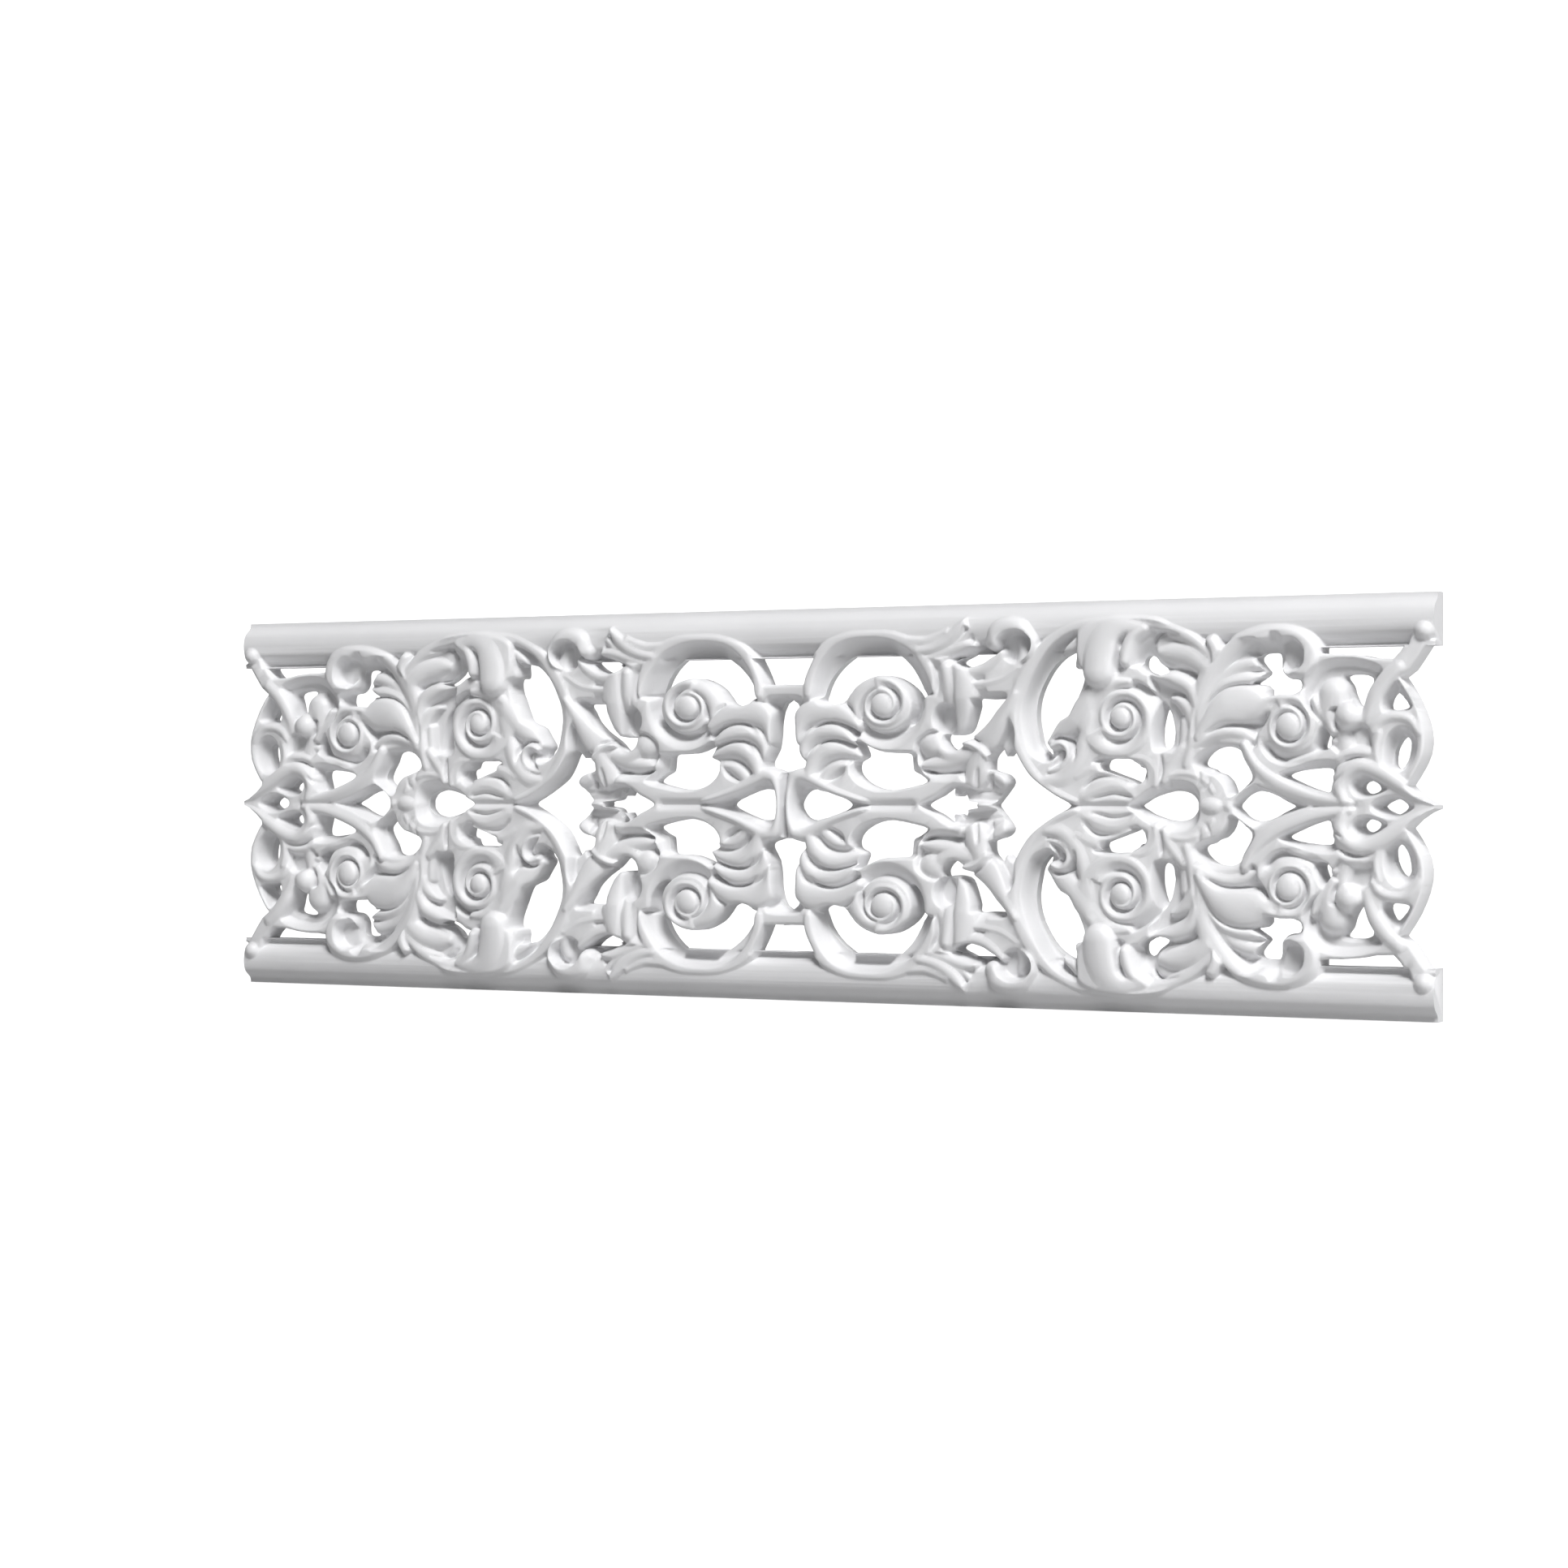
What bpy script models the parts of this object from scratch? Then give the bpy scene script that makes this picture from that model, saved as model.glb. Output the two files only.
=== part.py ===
"""Pierced acanthus frieze between two moulded rails, cast in one piece.

The ornament is symmetric left to right and top to bottom, so one quarter is drawn and mirrored.
The quarter is a relief: heights above the wall over a drawing that is 400 units long, 116 high.
"""
import math

import bmesh
import bpy
import numpy as np

# Overall sizes, metres
LENGTH = 0.800
HEIGHT = 0.232

# Rails: the plain mouldings along the top and the bottom
RAIL_HEIGHT = 0.0289
RAIL_DEPTH = 0.0160
RAIL_EDGE_DEPTH = 0.0083

# Heights of the carving above the wall
BAND_DEPTH = 0.0155      # face of the scroll bands
EYE_RISE = 0.0030        # spiral eyes above the band face
LEAF_RISE = 0.0070       # hanging leaf lobes above the band face
HOOD_RISE = 0.0050       # curled hoods above the band face
COVE_FOOT = 0.0070       # what is left at the inner edge of a hollowed band
EDGE_ROUNDING = 0.0016   # softening along every pierced edge

# Fineness of the solid
GRID = 1.0               # units of the drawing between two samples
FACES_KEPT = 9600        # faces of the finished solid

# The drawing
DRAWN_LENGTH = 400.0
DRAWN_HEIGHT = 116.0
DRAWN_RAIL = 28.9
DRAWN_FACE = 15.5        # height of the band face in units of the drawing

# Heights in units of the drawing
UNIT = BAND_DEPTH / DRAWN_FACE
EYE = DRAWN_FACE + EYE_RISE / UNIT
LEAF = DRAWN_FACE + LEAF_RISE / UNIT
HOOD = DRAWN_FACE + HOOD_RISE / UNIT

NAME = "frieze"


def clear_scene():
    for item in list(bpy.data.objects):
        bpy.data.objects.remove(item, do_unlink=True)


def smooth_line(points, step=1.0):
    """Smooth line through rows of numbers whose first two are u and v."""
    p = np.array(points, float)
    q = np.vstack([2 * p[0] - p[1], p, 2 * p[-1] - p[-2]])
    out = []
    for i in range(1, len(q) - 2):
        a, b, c, d = q[i - 1:i + 3]
        count = max(2, int(np.hypot(*(c - b)[:2]) / step))
        t = (np.arange(count) / count)[:, None]
        out.append(curve_piece(a, b, c, d, t))
    out.append(p[-1:])
    return np.vstack(out)


def curve_piece(a, b, c, d, t):
    linear = (c - a) * t
    square = (2 * a - 5 * b + 4 * c - d) * t * t
    cubic = (3 * b - a - 3 * c + d) * t ** 3
    return 0.5 * (2 * b + linear + square + cubic)


def closed_line(points, per=5):
    """Smooth closed line through the points."""
    p = np.array(points, float)
    count = len(p)
    t = (np.arange(per) / per)[:, None]
    out = []
    for i in range(count):
        a, b, c, d = p[i - 1], p[i], p[(i + 1) % count], p[(i + 2) % count]
        out.append(curve_piece(a, b, c, d, t))
    return np.vstack(out)


def over_axis(points):
    """Half an outline that starts and ends on the long axis, with its mirrored half."""
    return list(points) + [(u, -v) for u, v in reversed(points[1:-1])]


def nearest_on_line(path, u, v):
    """Signed offset (left of the line positive), distance and place along the line."""
    start, run = path[:-1, :2], np.diff(path[:, :2], axis=0)
    square = (run ** 2).sum(1) + 1e-12
    best = np.full(u.shape, 1e9)
    place = np.zeros(u.shape)
    side = np.zeros(u.shape)
    for k in range(len(start)):
        x, y = u - start[k, 0], v - start[k, 1]
        t = np.clip((x * run[k, 0] + y * run[k, 1]) / square[k], 0, 1)
        gap = (x - t * run[k, 0]) ** 2 + (y - t * run[k, 1]) ** 2
        nearer = gap < best
        best[nearer] = gap[nearer]
        place[nearer] = (k + t)[nearer]
        side[nearer] = (run[k, 0] * y - run[k, 1] * x)[nearer]
    distance = np.sqrt(best)
    return np.where(side >= 0, distance, -distance), distance, place


def depth_inside(outline, u, v):
    """Distance from a closed outline, positive inside it."""
    best = np.full(u.shape, 1e9)
    inside = np.zeros(u.shape, bool)
    for (ax, ay), (bx, by) in zip(outline, np.roll(outline, -1, axis=0)):
        dx, dy = bx - ax, by - ay
        t = np.clip(((u - ax) * dx + (v - ay) * dy) / (dx * dx + dy * dy + 1e-12), 0, 1)
        best = np.minimum(best, (u - ax - t * dx) ** 2 + (v - ay - t * dy) ** 2)
        if ay != by:
            inside ^= ((ay > v) != (by > v)) & (u < (bx - ax) * (v - ay) / (by - ay) + ax)
    distance = np.sqrt(best)
    return np.where(inside, distance, -distance)


def rounded(inside, edge):
    """How far a face has dropped at this distance from its edge."""
    x = np.clip((edge - inside) / edge, 0, 1)
    return edge * (1 - np.sqrt(np.clip(1 - x * x, 0, 1)))


class Relief:
    """Heights above the wall over one quarter, all in units of the drawing."""

    def __init__(self, grid):
        self.grid = grid
        self.u = np.arange(0, DRAWN_LENGTH + grid / 2, grid)
        self.v = np.arange(0, DRAWN_HEIGHT + grid / 2, grid)
        self.U, self.V = np.meshgrid(self.u, self.v)
        self.H = np.zeros(self.U.shape)
        self.open = np.full(self.U.shape, 1e3)

    def window(self, points, margin):
        low = (points.min(0) - margin) / self.grid
        high = (points.max(0) + margin) / self.grid
        columns = slice(max(0, int(low[0])), max(0, int(high[0]) + 2))
        rows = slice(max(0, int(low[1])), max(0, int(high[1]) + 2))
        return rows, columns

    def spread(self, value, along):
        """One number, or several spread evenly along a line."""
        value = np.atleast_1d(np.array(value, float))
        return np.interp(along, np.linspace(0, 1, max(2, len(value))), np.resize(value, max(2, len(value))))

    def blend(self, where, height, inside, way, soft):
        old = self.H[where]
        if way == "add":
            k = np.clip(0.5 + 0.5 * (height - old) / soft, 0, 1)
            new = old * (1 - k) + height * k + soft * k * (1 - k) * 0.5
            share = np.clip(inside + 1, 0, 1)
            lifted = old + (np.maximum(new, old) - old) * share
            self.H[where] = np.where(inside > -self.grid, lifted, old)
            return
        if way == "sink":
            height = np.minimum(old, height)
        k = np.clip(inside / soft + 0.5, 0, 1)
        k = k * k * (3 - 2 * k)
        self.H[where] = old * (1 - k) + height * k

    def stroke(self, points, left, right=None, crown=0.0, way="add", edge=1.5, soft=1.2):
        """A band along a line. Rows are u, v, half width."""
        right = left if right is None else right
        path = smooth_line(points)
        where = self.window(path[:, :2], path[:, 2].max() + 2 * self.grid)
        offset, distance, place = nearest_on_line(path, self.U[where], self.V[where])
        along = place / (len(path) - 1)
        half = np.interp(place, np.arange(len(path)), path[:, 2])
        t = np.clip(offset / np.maximum(half, 0.01), -1, 1)
        high, low = self.spread(left, along), self.spread(right, along)
        height = (high + low) / 2 + (high - low) / 2 * t + self.spread(crown, along) * (1 - t * t)
        inside = half - distance
        self.blend(where, height - rounded(inside, edge), inside, way, soft)

    def plate(self, outline, top, way="add", edge=2.5, soft=1.2):
        """A leaf or patch with a rounded edge inside a closed outline."""
        line = closed_line(outline)
        where = self.window(line, 2 * self.grid + 1)
        inside = depth_inside(line, self.U[where], self.V[where])
        self.blend(where, top - rounded(inside, edge), inside, way, soft)

    def line(self, points, drop, right, left=0.8, power=1.5):
        """A carved line, deepest on the line and fading to both sides. Rows are u, v, share."""
        rows = [(p[0], p[1], p[2] if len(p) > 2 else 1.0) for p in points]
        path = smooth_line(rows)
        where = self.window(path[:, :2], max(right, left) + self.grid)
        offset, distance, place = nearest_on_line(path, self.U[where], self.V[where])
        along = place / (len(path) - 1)
        share = np.interp(place, np.arange(len(path)), path[:, 2])
        total = np.hypot(*np.diff(path[:, :2], axis=0).T).sum()
        tip = np.clip(np.minimum(along, 1 - along) * total / 4 + 0.25, 0, 1)
        reach = np.where(offset > 0, left, right)
        self.H[where] -= drop * share * tip * np.clip(1 - distance / reach, 0, 1) ** power

    def dome(self, u, v, ru, rv, base, top, way="add", soft=0.8):
        where = self.window(np.array([(u - ru, v - rv), (u + ru, v + rv)]), 2 * self.grid)
        q = np.hypot((self.U[where] - u) / ru, (self.V[where] - v) / rv)
        height = base + (top - base) * np.sqrt(np.clip(1 - np.minimum(q, 1) ** 2, 0, 1))
        self.blend(where, height, (1 - q) * min(ru, rv), way, soft)

    def volute(self, u, v, reach, wide, start, hand, shrink, rim, dip, ball, top):
        """A snail: a rim winding inwards to a ball, with the face sunk between its turns."""
        where = self.window(np.array([(u - reach * wide, v - reach), (u + reach * wide, v + reach)]), 3)
        x, y = (self.U[where] - u) / wide, self.V[where] - v
        radius = np.hypot(x, y) + 1e-6
        turned = np.mod(hand * (np.degrees(np.arctan2(y, x)) - start), 360) / 360
        edge = reach * shrink ** turned
        turns = np.log(edge / radius) / np.log(1 / shrink)
        share = np.mod(turns, 1)
        begun = np.clip((turned + np.floor(turns)) / 0.15, 0, 1)
        sunk = np.clip((share - 0.25) / 0.5, 0, 1) ** 1.5 * np.clip((1 - share) / 0.2, 0, 1) ** 0.7
        height = rim - dip * sunk * begun - rounded(edge - radius, 1.6)
        bead = top - 4 + 4 * np.sqrt(1 - np.clip(radius / ball, 0, 1) ** 2)
        inner = np.clip((ball - radius) / 1.2, 0, 1)
        self.blend(where, height * (1 - inner) + bead * inner, edge - radius, "set", 1.0)

    def hole(self, back, front=None, foot=None, per=3):
        """A piercing. Between the front and the back outline the face sinks to the foot."""
        foot = COVE_FOOT / UNIT if foot is None else foot
        behind = closed_line(back, per)
        ahead = behind if front is None else closed_line(front, per)
        where = self.window(np.vstack([behind, ahead]), 6)
        u, v = self.U[where], self.V[where]
        outside = -depth_inside(behind, u, v)
        if front is not None:
            past = np.clip(depth_inside(ahead, u, v), 0, None)
            t = past / (past + np.clip(outside, 0, None) + 1e-6)
            old = self.H[where]
            sunk = old + (foot - old) * (1 - (1 - t) ** 2.2)
            self.H[where] = np.where((past > 0) & (outside > -1.5), np.minimum(old, sunk), old)
        self.open[where] = np.minimum(self.open[where], outside)

    def soften_edges(self, radius):
        near = np.clip(self.open, 0, radius)
        strength = np.clip((self.H - 6) / 8, 0, 1)
        drop = rounded(near, radius) * strength
        self.H -= np.where(self.open < radius, drop, 0)


def ornament(relief):
    """The drawing of one quarter, from the middle of the frieze to its right top end."""
    # Rim of the first scroll
    relief.stroke([(17, 66, 3), (17.5, 74, 3.4), (21.5, 84, 4), (30, 92, 4), (42, 97.5, 3.2),
                  (56, 99.3, 2.6), (70, 98.5, 3), (82, 94.7, 3.4), (90.5, 88, 3.6), (96, 80, 3.4),
                  (99, 73, 2.8), (99.8, 66, 1.8)], 17.0, 16.6, crown=0.4, soft=0.6)
    # Fillet from the first scroll to the leaf on the rail
    relief.stroke([(78, 98, 2.5), (88, 95.5, 3), (98, 95, 4), (106, 97, 4)], 14.8, 16, soft=1.5)
    # Bed of the leaf on the rail
    relief.plate([(96, 88), (99, 95), (104, 98.5), (109, 101.5), (112, 98.5), (115, 99), (118, 105),
                 (122, 104.5), (125, 97), (127, 91), (122, 87.5), (112, 85), (104, 82)], 18,
                 edge=2.5)
    # Bed of the curled hood
    relief.plate([(136, 91), (134.5, 97), (136.5, 103), (142, 106.5), (150, 107.5), (158, 105.5),
                 (163, 100), (166, 93), (162, 84), (152, 82), (143, 86), (139.5, 89)], HOOD,
                 edge=5.5)
    # Rim of the second scroll
    relief.stroke([(208, 104, 2), (200, 103.3, 2.5), (190, 101, 3), (180, 96.5, 3.2),
                  (170, 89.5, 3.6), (161, 79, 4), (154, 67, 3.6), (150.5, 55, 3.2), (151, 43, 3.2),
                  (155, 31, 3.2), (161, 21, 3.2), (168, 13.5, 3), (177, 7, 3), (189, 2, 2.5)], 16.2,
                  16.8, crown=0.5, soft=0.6)
    # Bed of the leaf over the second snail
    relief.plate([(190, 88), (191, 98), (198, 103.5), (212, 106.5), (228, 106), (241, 104.5),
                 (251, 99), (260, 94), (266, 91.5), (270, 93.5), (274, 94), (278, 88), (280, 80),
                 (262, 74), (245, 80), (228, 78), (214, 76), (196, 74)], 19, edge=3)
    # Upper arch of the large leaf
    relief.plate([(274, 78), (279, 86), (285, 91.5), (295, 97), (306, 99.3), (316, 99.3), (325, 96),
                 (331, 91.5), (334, 86), (334, 80), (330, 72), (320, 72), (314, 80), (308, 88),
                 (295, 88), (284, 84)], 18.5, edge=3)
    # End bead and strap
    relief.stroke([(391, 90, 4.5), (389, 84, 5), (383, 77.5, 5.5), (376, 72, 6)], 14.5, 15.5, soft=0.6)
    # Piercings, with the hollows that lead into them
    relief.hole([(0, 71), (13.5, 71), (16.5, 78), (22, 88.5), (0, 88.5)], per=1)
    relief.hole([(-4.5, 60), (4.5, 60), (8, 50), (8.5, 42), (10, 33), (14, 26), (13.5, 22.5),
                (9, 21), (4, 19.5), (0, 20), (-5, 20)], [(-12, 64.5), (0, 64.8), (10, 64.5),
                (13, 61.5), (12.5, 55), (11.8, 48), (12.5, 40), (14.5, 33), (16.5, 27), (16, 22.5),
                (9, 21), (0, 20), (-12, 20)], foot=5, per=2)
    relief.hole(over_axis([(40.5, 0), (38, 2.5), (30, 6), (21, 9), (14, 9), (10, 7.5), (7, 4),
                (5.5, 0)]), over_axis([(58, 0), (48, 3.2), (40, 5.3), (32, 8.6), (25, 11.3),
                (18, 13.6), (12, 13.8), (7, 12), (4.6, 7), (4.4, 0)]), foot=4, per=3)
    relief.hole([(22.5, 61), (23.6, 66), (26.4, 72.5), (31.4, 79), (38.2, 84.6), (46, 88.7),
                (58, 88.7), (70, 88.7), (77, 84.3), (82.6, 78.2), (86.4, 71.5), (88.9, 65.4),
                (90.3, 60), (89.5, 54), (86.5, 49), (82.5, 46.8), (86, 53), (87, 58), (86.3, 62.5),
                (83, 67), (77, 71.5), (70, 74.6), (62, 75.6), (54.5, 73.5), (47.5, 69.5),
                (42.5, 64), (39, 60), (30, 58.5)], [(18, 60), (19.5, 66), (20.5, 72), (23.5, 80),
                (28.5, 88), (35, 93.5), (43, 96.5), (52, 97.6), (62, 97.5), (72, 95.7), (81, 91),
                (88, 85), (93.5, 78), (97, 71), (98.5, 65), (93, 62), (92, 56), (88, 49),
                (82.5, 46.5), (84.5, 54), (85, 59), (84, 64), (80, 69), (74, 72.8), (68, 75),
                (62, 75.8), (54.2, 73.7), (47, 69.8), (42, 64.2), (38.5, 60.2), (27, 58.4)],
                foot=5.5, per=3)
    relief.hole([(50, 31.5), (50.5, 28), (45.5, 25.3), (44.8, 20), (49, 14.5), (58, 10), (69, 8.7),
                (81, 10.3), (92, 13.4), (88, 17.5), (83.3, 20), (82.5, 25), (81.3, 29.7),
                (74, 30.3), (65, 31), (56, 34), (50, 37), (47.5, 37)], [(49, 32), (51, 27),
                (46, 24.8), (45, 20), (49, 14.2), (58, 9.8), (69, 8.5), (81, 10), (97, 13.4),
                (92, 18), (89, 24), (88, 31), (80, 30.8), (70, 30.8), (63, 31.6), (55, 34.6),
                (50, 37.8), (47, 37.6)], foot=8, per=3)
    relief.hole([(113, 82.8), (118, 85.5), (125, 88.2), (137, 88.5), (134, 84), (128, 80.5),
                (121, 79.2), (115.5, 80.5)], [(105, 83.5), (111, 85.5), (118, 87.5), (126, 91),
                (131, 92), (143, 89.5), (139, 83), (131, 79.5), (122, 78.5), (113, 80)], foot=5,
                per=3)
    relief.hole([(124, 61.5), (133, 61), (142, 61), (139.5, 56), (136, 50), (129.5, 44),
                (120.5, 38), (116, 33.5), (112.5, 31.5), (108, 32), (104.5, 35), (103, 38.5),
                (104.5, 41.5), (109, 40.5), (114, 40.8), (118.5, 43), (121.5, 50), (123.5, 57)],
                [(122.5, 64), (133, 64.5), (146, 64), (143, 55), (138, 49), (130.5, 43), (121, 37),
                (116.5, 33), (112.5, 31.2), (107.5, 31.5), (103.5, 34.5), (101, 38.5), (104, 41.5),
                (109, 40.5), (114, 40.8), (118.5, 43), (121.3, 50), (123, 57)], foot=6, per=3)
    relief.hole(over_axis([(90, 0), (94, 3), (100, 5.7), (109, 11), (112, 5), (116.5, 8.5),
                (119, 3), (127, 1.5), (127, 0)]), per=3)
    relief.hole(over_axis([(183, 0), (176, 4.5), (170, 8), (160, 15), (155, 22), (150, 32),
                (146, 31), (143, 28), (140, 33.5), (134, 28), (133, 22), (134, 20), (142, 17.5),
                (145, 13), (141, 7), (136, 1), (135.5, 0)]), over_axis([(192, 0), (180, 4),
                (170, 10), (162, 16), (157, 22), (151, 31), (147, 33), (143, 30), (140, 34),
                (134, 28), (133, 22), (134, 20), (142, 18.3), (146.5, 13), (142.5, 7), (136, 1),
                (135.5, 0)]), foot=7, per=3)
    relief.hole([(161, 50), (161.5, 58), (163.5, 65), (167, 72), (171, 78), (176, 83), (182, 86.5),
                (188, 87.5), (188.2, 78), (193, 77.2), (193.5, 71), (190, 62), (186, 52.5),
                (183, 50), (176, 47), (172.5, 42), (168.5, 35.5), (171, 31.5), (171, 27.5),
                (167, 30.5), (164, 35), (162.5, 41)], [(155, 50), (156, 58), (159, 66), (163.5, 75),
                (169, 84), (176, 92), (184, 97), (191, 98.5), (191.5, 90), (188.5, 78), (194, 77),
                (194.3, 71), (190.5, 61.5), (187, 52.2), (183.5, 49.8), (178, 47), (175.5, 41.5),
                (175, 36), (177.5, 33), (177, 28), (171.5, 24.5), (162, 29), (157, 39)], foot=6,
                per=3)
    relief.hole([(228, 78), (228.5, 82.5), (231, 84.5), (235, 83.5), (238, 80), (243, 76.5),
                (246, 74.8), (243, 73.2), (237, 73), (231, 75)], [(224.5, 77), (224, 83), (226, 91),
                (232, 96.5), (240, 97.5), (249, 95.5), (243, 92), (239.5, 87), (240.5, 82),
                (247, 77.5), (255, 75), (248, 72.6), (237, 72.6), (229, 74.5)], foot=6, per=3)
    relief.hole([(238, 34), (237.5, 42), (239, 50), (241, 54.5), (244, 50), (245.5, 43), (246, 36),
                (244, 32.5), (240, 32)], [(236.5, 33), (236.5, 44), (238.5, 54), (240.5, 58.5),
                (245, 53), (248.5, 45), (250, 36), (248.5, 31.5), (240, 30.5)], foot=6, per=3)
    relief.hole([(204, 24), (207, 26.5), (218, 26.3), (224, 26), (226, 22), (229, 20.5),
                (228.5, 15.5), (226, 12.5), (221, 14.5), (214, 17), (207, 19.5), (204, 21)],
                [(199.5, 24.5), (204, 27), (218, 26.5), (225, 26.4), (228, 23), (231.5, 20),
                (230.5, 14), (226, 11.8), (220, 14), (212, 17), (205, 19.5), (200, 20.5)], foot=7,
                per=3)
    relief.hole([(263.5, 24.5), (266, 28.5), (271, 32), (277, 33), (285, 32), (288, 26),
                (293, 16.5), (289, 11), (283, 6.3), (281.3, 10), (279.3, 14), (275.5, 17.5),
                (272, 18.5), (269, 20.5), (264.5, 22)], [(260.5, 24), (263.5, 29), (270, 33.2),
                (279, 34), (288, 32), (292, 25), (297.3, 15.5), (291, 10), (283, 5.5), (280.5, 10),
                (278, 14), (274, 17.3), (270, 18.3), (264, 20.5)], foot=7, per=3)
    relief.hole(over_axis([(225, 0), (228, 2.2), (233, 5), (243, 8), (251, 8.3), (257, 6.5),
                (260, 3), (260.5, 0)]), over_axis([(221, 0), (226, 3.5), (232, 8), (241, 12.5),
                (250, 14.3), (259, 13), (264, 8), (264.5, 0)]), foot=6, per=3)
    relief.hole(over_axis([(284, 0), (286, 3), (290, 6.5), (295, 8.3), (301, 8), (307, 6),
                (313, 2.7), (318, 0)]), over_axis([(284, 0), (286, 3), (291, 8), (297, 12),
                (301, 10.5), (309, 7), (318, 3.6), (329, 0)]), foot=6, per=3)
    relief.hole([(296.9, 81), (299, 84), (304, 84.5), (309, 84), (310.3, 80), (310.3, 76),
                (312.5, 72), (316, 70), (321, 69), (321, 62), (312, 61.5), (303.5, 60.5), (303, 64),
                (300, 66.8), (294.5, 67.5), (298.5, 70.5), (302.1, 73.5), (299, 77.5)], [(284, 84),
                (288, 88.5), (296, 91), (305, 92.5), (307, 96), (312, 95.3), (315, 91), (314, 84),
                (313, 77), (314, 73), (318, 71), (324, 69.5), (326, 64), (312, 61.2), (303, 60),
                (302.5, 64), (299.5, 66.5), (294, 67.3), (298, 70.5), (301.6, 73.5), (298, 77.5),
                (294.5, 80)], foot=6, per=3)
    relief.hole([(335, 83.8), (335, 88.7), (348, 88.7), (365, 88.7), (384, 88.7), (381, 84),
                (377, 80), (366, 80.5), (357, 82.2), (348, 83), (341, 83)], per=1)
    relief.hole([(347, 71), (355, 72), (363, 70), (362, 64), (360.5, 58), (357.5, 53.5), (354, 56),
                (351.5, 61), (350, 66)], [(344, 71), (346, 74), (355, 74.8), (365, 73), (366, 66),
                (363, 59), (358.5, 53), (354, 56), (351.5, 61), (349.5, 66)], foot=7, per=3)
    relief.hole([(313, 17), (322, 20), (338, 21), (341, 18), (339.5, 11), (338, 7.5), (330, 9),
                (320, 13)], [(311, 17), (320, 21), (330, 24.5), (344, 25), (344, 18), (342, 9),
                (338, 6.7), (330, 8.8), (320, 12.8)], foot=8, per=3)
    relief.hole([(334, 33), (335.5, 38), (337, 41), (339, 38.5), (338.5, 33), (336, 31)],
                [(331, 31.5), (333, 38), (336, 44), (341, 44), (342.5, 38), (341, 33), (338, 30.5)],
                foot=6, per=2)
    relief.hole([(372, 53), (372.5, 58), (375.5, 62), (379, 60), (383, 54), (378, 52.2)],
                [(371.5, 51.5), (371, 59), (374, 66), (380, 68.5), (386, 61), (388, 54), (382, 51)],
                foot=5, per=2)
    relief.hole([(375, 22), (375, 29), (377.5, 35), (381, 38), (384, 36), (384, 31), (382.5, 25),
                (379, 20.5)], [(373, 22), (371.5, 31), (374, 39), (380, 43.5), (387, 41),
                (390.5, 34), (389, 26), (384, 19.5), (377, 18)], foot=6, per=3)
    relief.hole([(356.5, 10), (358, 13), (362, 14), (366, 12), (367, 9), (363, 7), (359, 7.2)],
                [(352.5, 10.5), (355, 15.5), (362, 17.5), (369, 14), (374, 9.5), (366, 6),
                (357, 5.5)], foot=6, per=3)
    relief.hole(over_axis([(368.5, 0), (372, 2.8), (377, 4.3), (381, 2.6), (383, 0)]),
                over_axis([(364, 0), (368, 4), (377, 6), (384, 4), (389, 0)]), foot=7, per=3)
    # Open space outside the right end, between the rails
    relief.hole([(396, 88.7), (391, 81), (386, 74), (380.5, 70), (384, 65), (387.7, 59),
                (390.8, 52.5), (393.2, 46), (394.6, 40), (394.8, 34), (393.8, 28), (391.4, 22.5),
                (388.2, 17), (384.5, 11.5), (389, 7), (395, 3), (400.5, 0.8), (420, 0),
                (420, 88.7)], per=1)
    # Snail of the first scroll
    relief.line([(84, 66), (86, 58), (83, 49), (75, 43), (66, 41.5), (57, 44), (51, 50)], 7.0, 1.5,
                9, 1.2)
    relief.stroke([(76, 69, 3), (68, 71.3, 4), (60, 71.2, 4.4), (52, 67.5, 5), (47, 61, 5.5),
                  (45, 54, 5.5)], 15.5, 12.5, crown=2.2, way="set", soft=1.0)
    relief.line([(68, 67), (60, 66.5), (55, 62), (52.5, 56), (52, 50)], 5.5, 1.2, 2.5, 1.2)
    relief.volute(66, 58.5, 17.6, 1.12, start=105, hand=-1, shrink=0.55, rim=17.0, dip=5.5,
                  ball=7.4, top=EYE)
    # Leaf left of the first snail
    relief.plate([(12, 60), (10, 45), (9, 30), (16, 18), (28, 14), (38, 17), (42, 24), (50, 27),
                 (47, 36), (50, 44), (44, 58), (30, 59)], 11.5, way="sink", soft=3)
    relief.stroke([(8, 38, 4), (10.5, 48, 6.5), (18, 54, 8), (31, 54.5, 7.5), (42, 51.5, 6),
                  (50, 46.5, 3.4)], 15, 14.5, crown=2.2, edge=3, soft=1.2)
    relief.stroke([(12, 28, 4), (15, 36.5, 5), (22, 42, 5.6), (31, 43, 5.6), (40, 41, 4.8),
                  (47.5, 36.8, 2.6)], 14, 13, crown=3.0, edge=3, soft=0.8)
    relief.stroke([(17, 18, 4.5), (20.5, 26, 6), (27, 31.5, 6.4), (36, 32.5, 5.6), (45, 30.5, 4.2),
                  (50.5, 28.3, 2)], [14.5, 14, 10.5], [14, 13, 9.5], crown=3.0, edge=3, soft=0.8)
    relief.stroke([(24, 12, 4.5), (29, 18, 4.6), (35, 22, 4), (41, 23.5, 2.6)], 13.5, 13, crown=2.0,
                  edge=3, soft=1.0)
    relief.line([(49, 34.5), (42, 36.6), (34, 38), (26, 36.8), (19.5, 31, 0.3)], 4.0, 1.2, 1.6, 1.2)
    relief.line([(50, 40.5), (43, 46), (34, 48.8), (25, 47.6), (17, 42, 0.3)], 4.5, 1.2, 1.8, 1.2)
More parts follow.
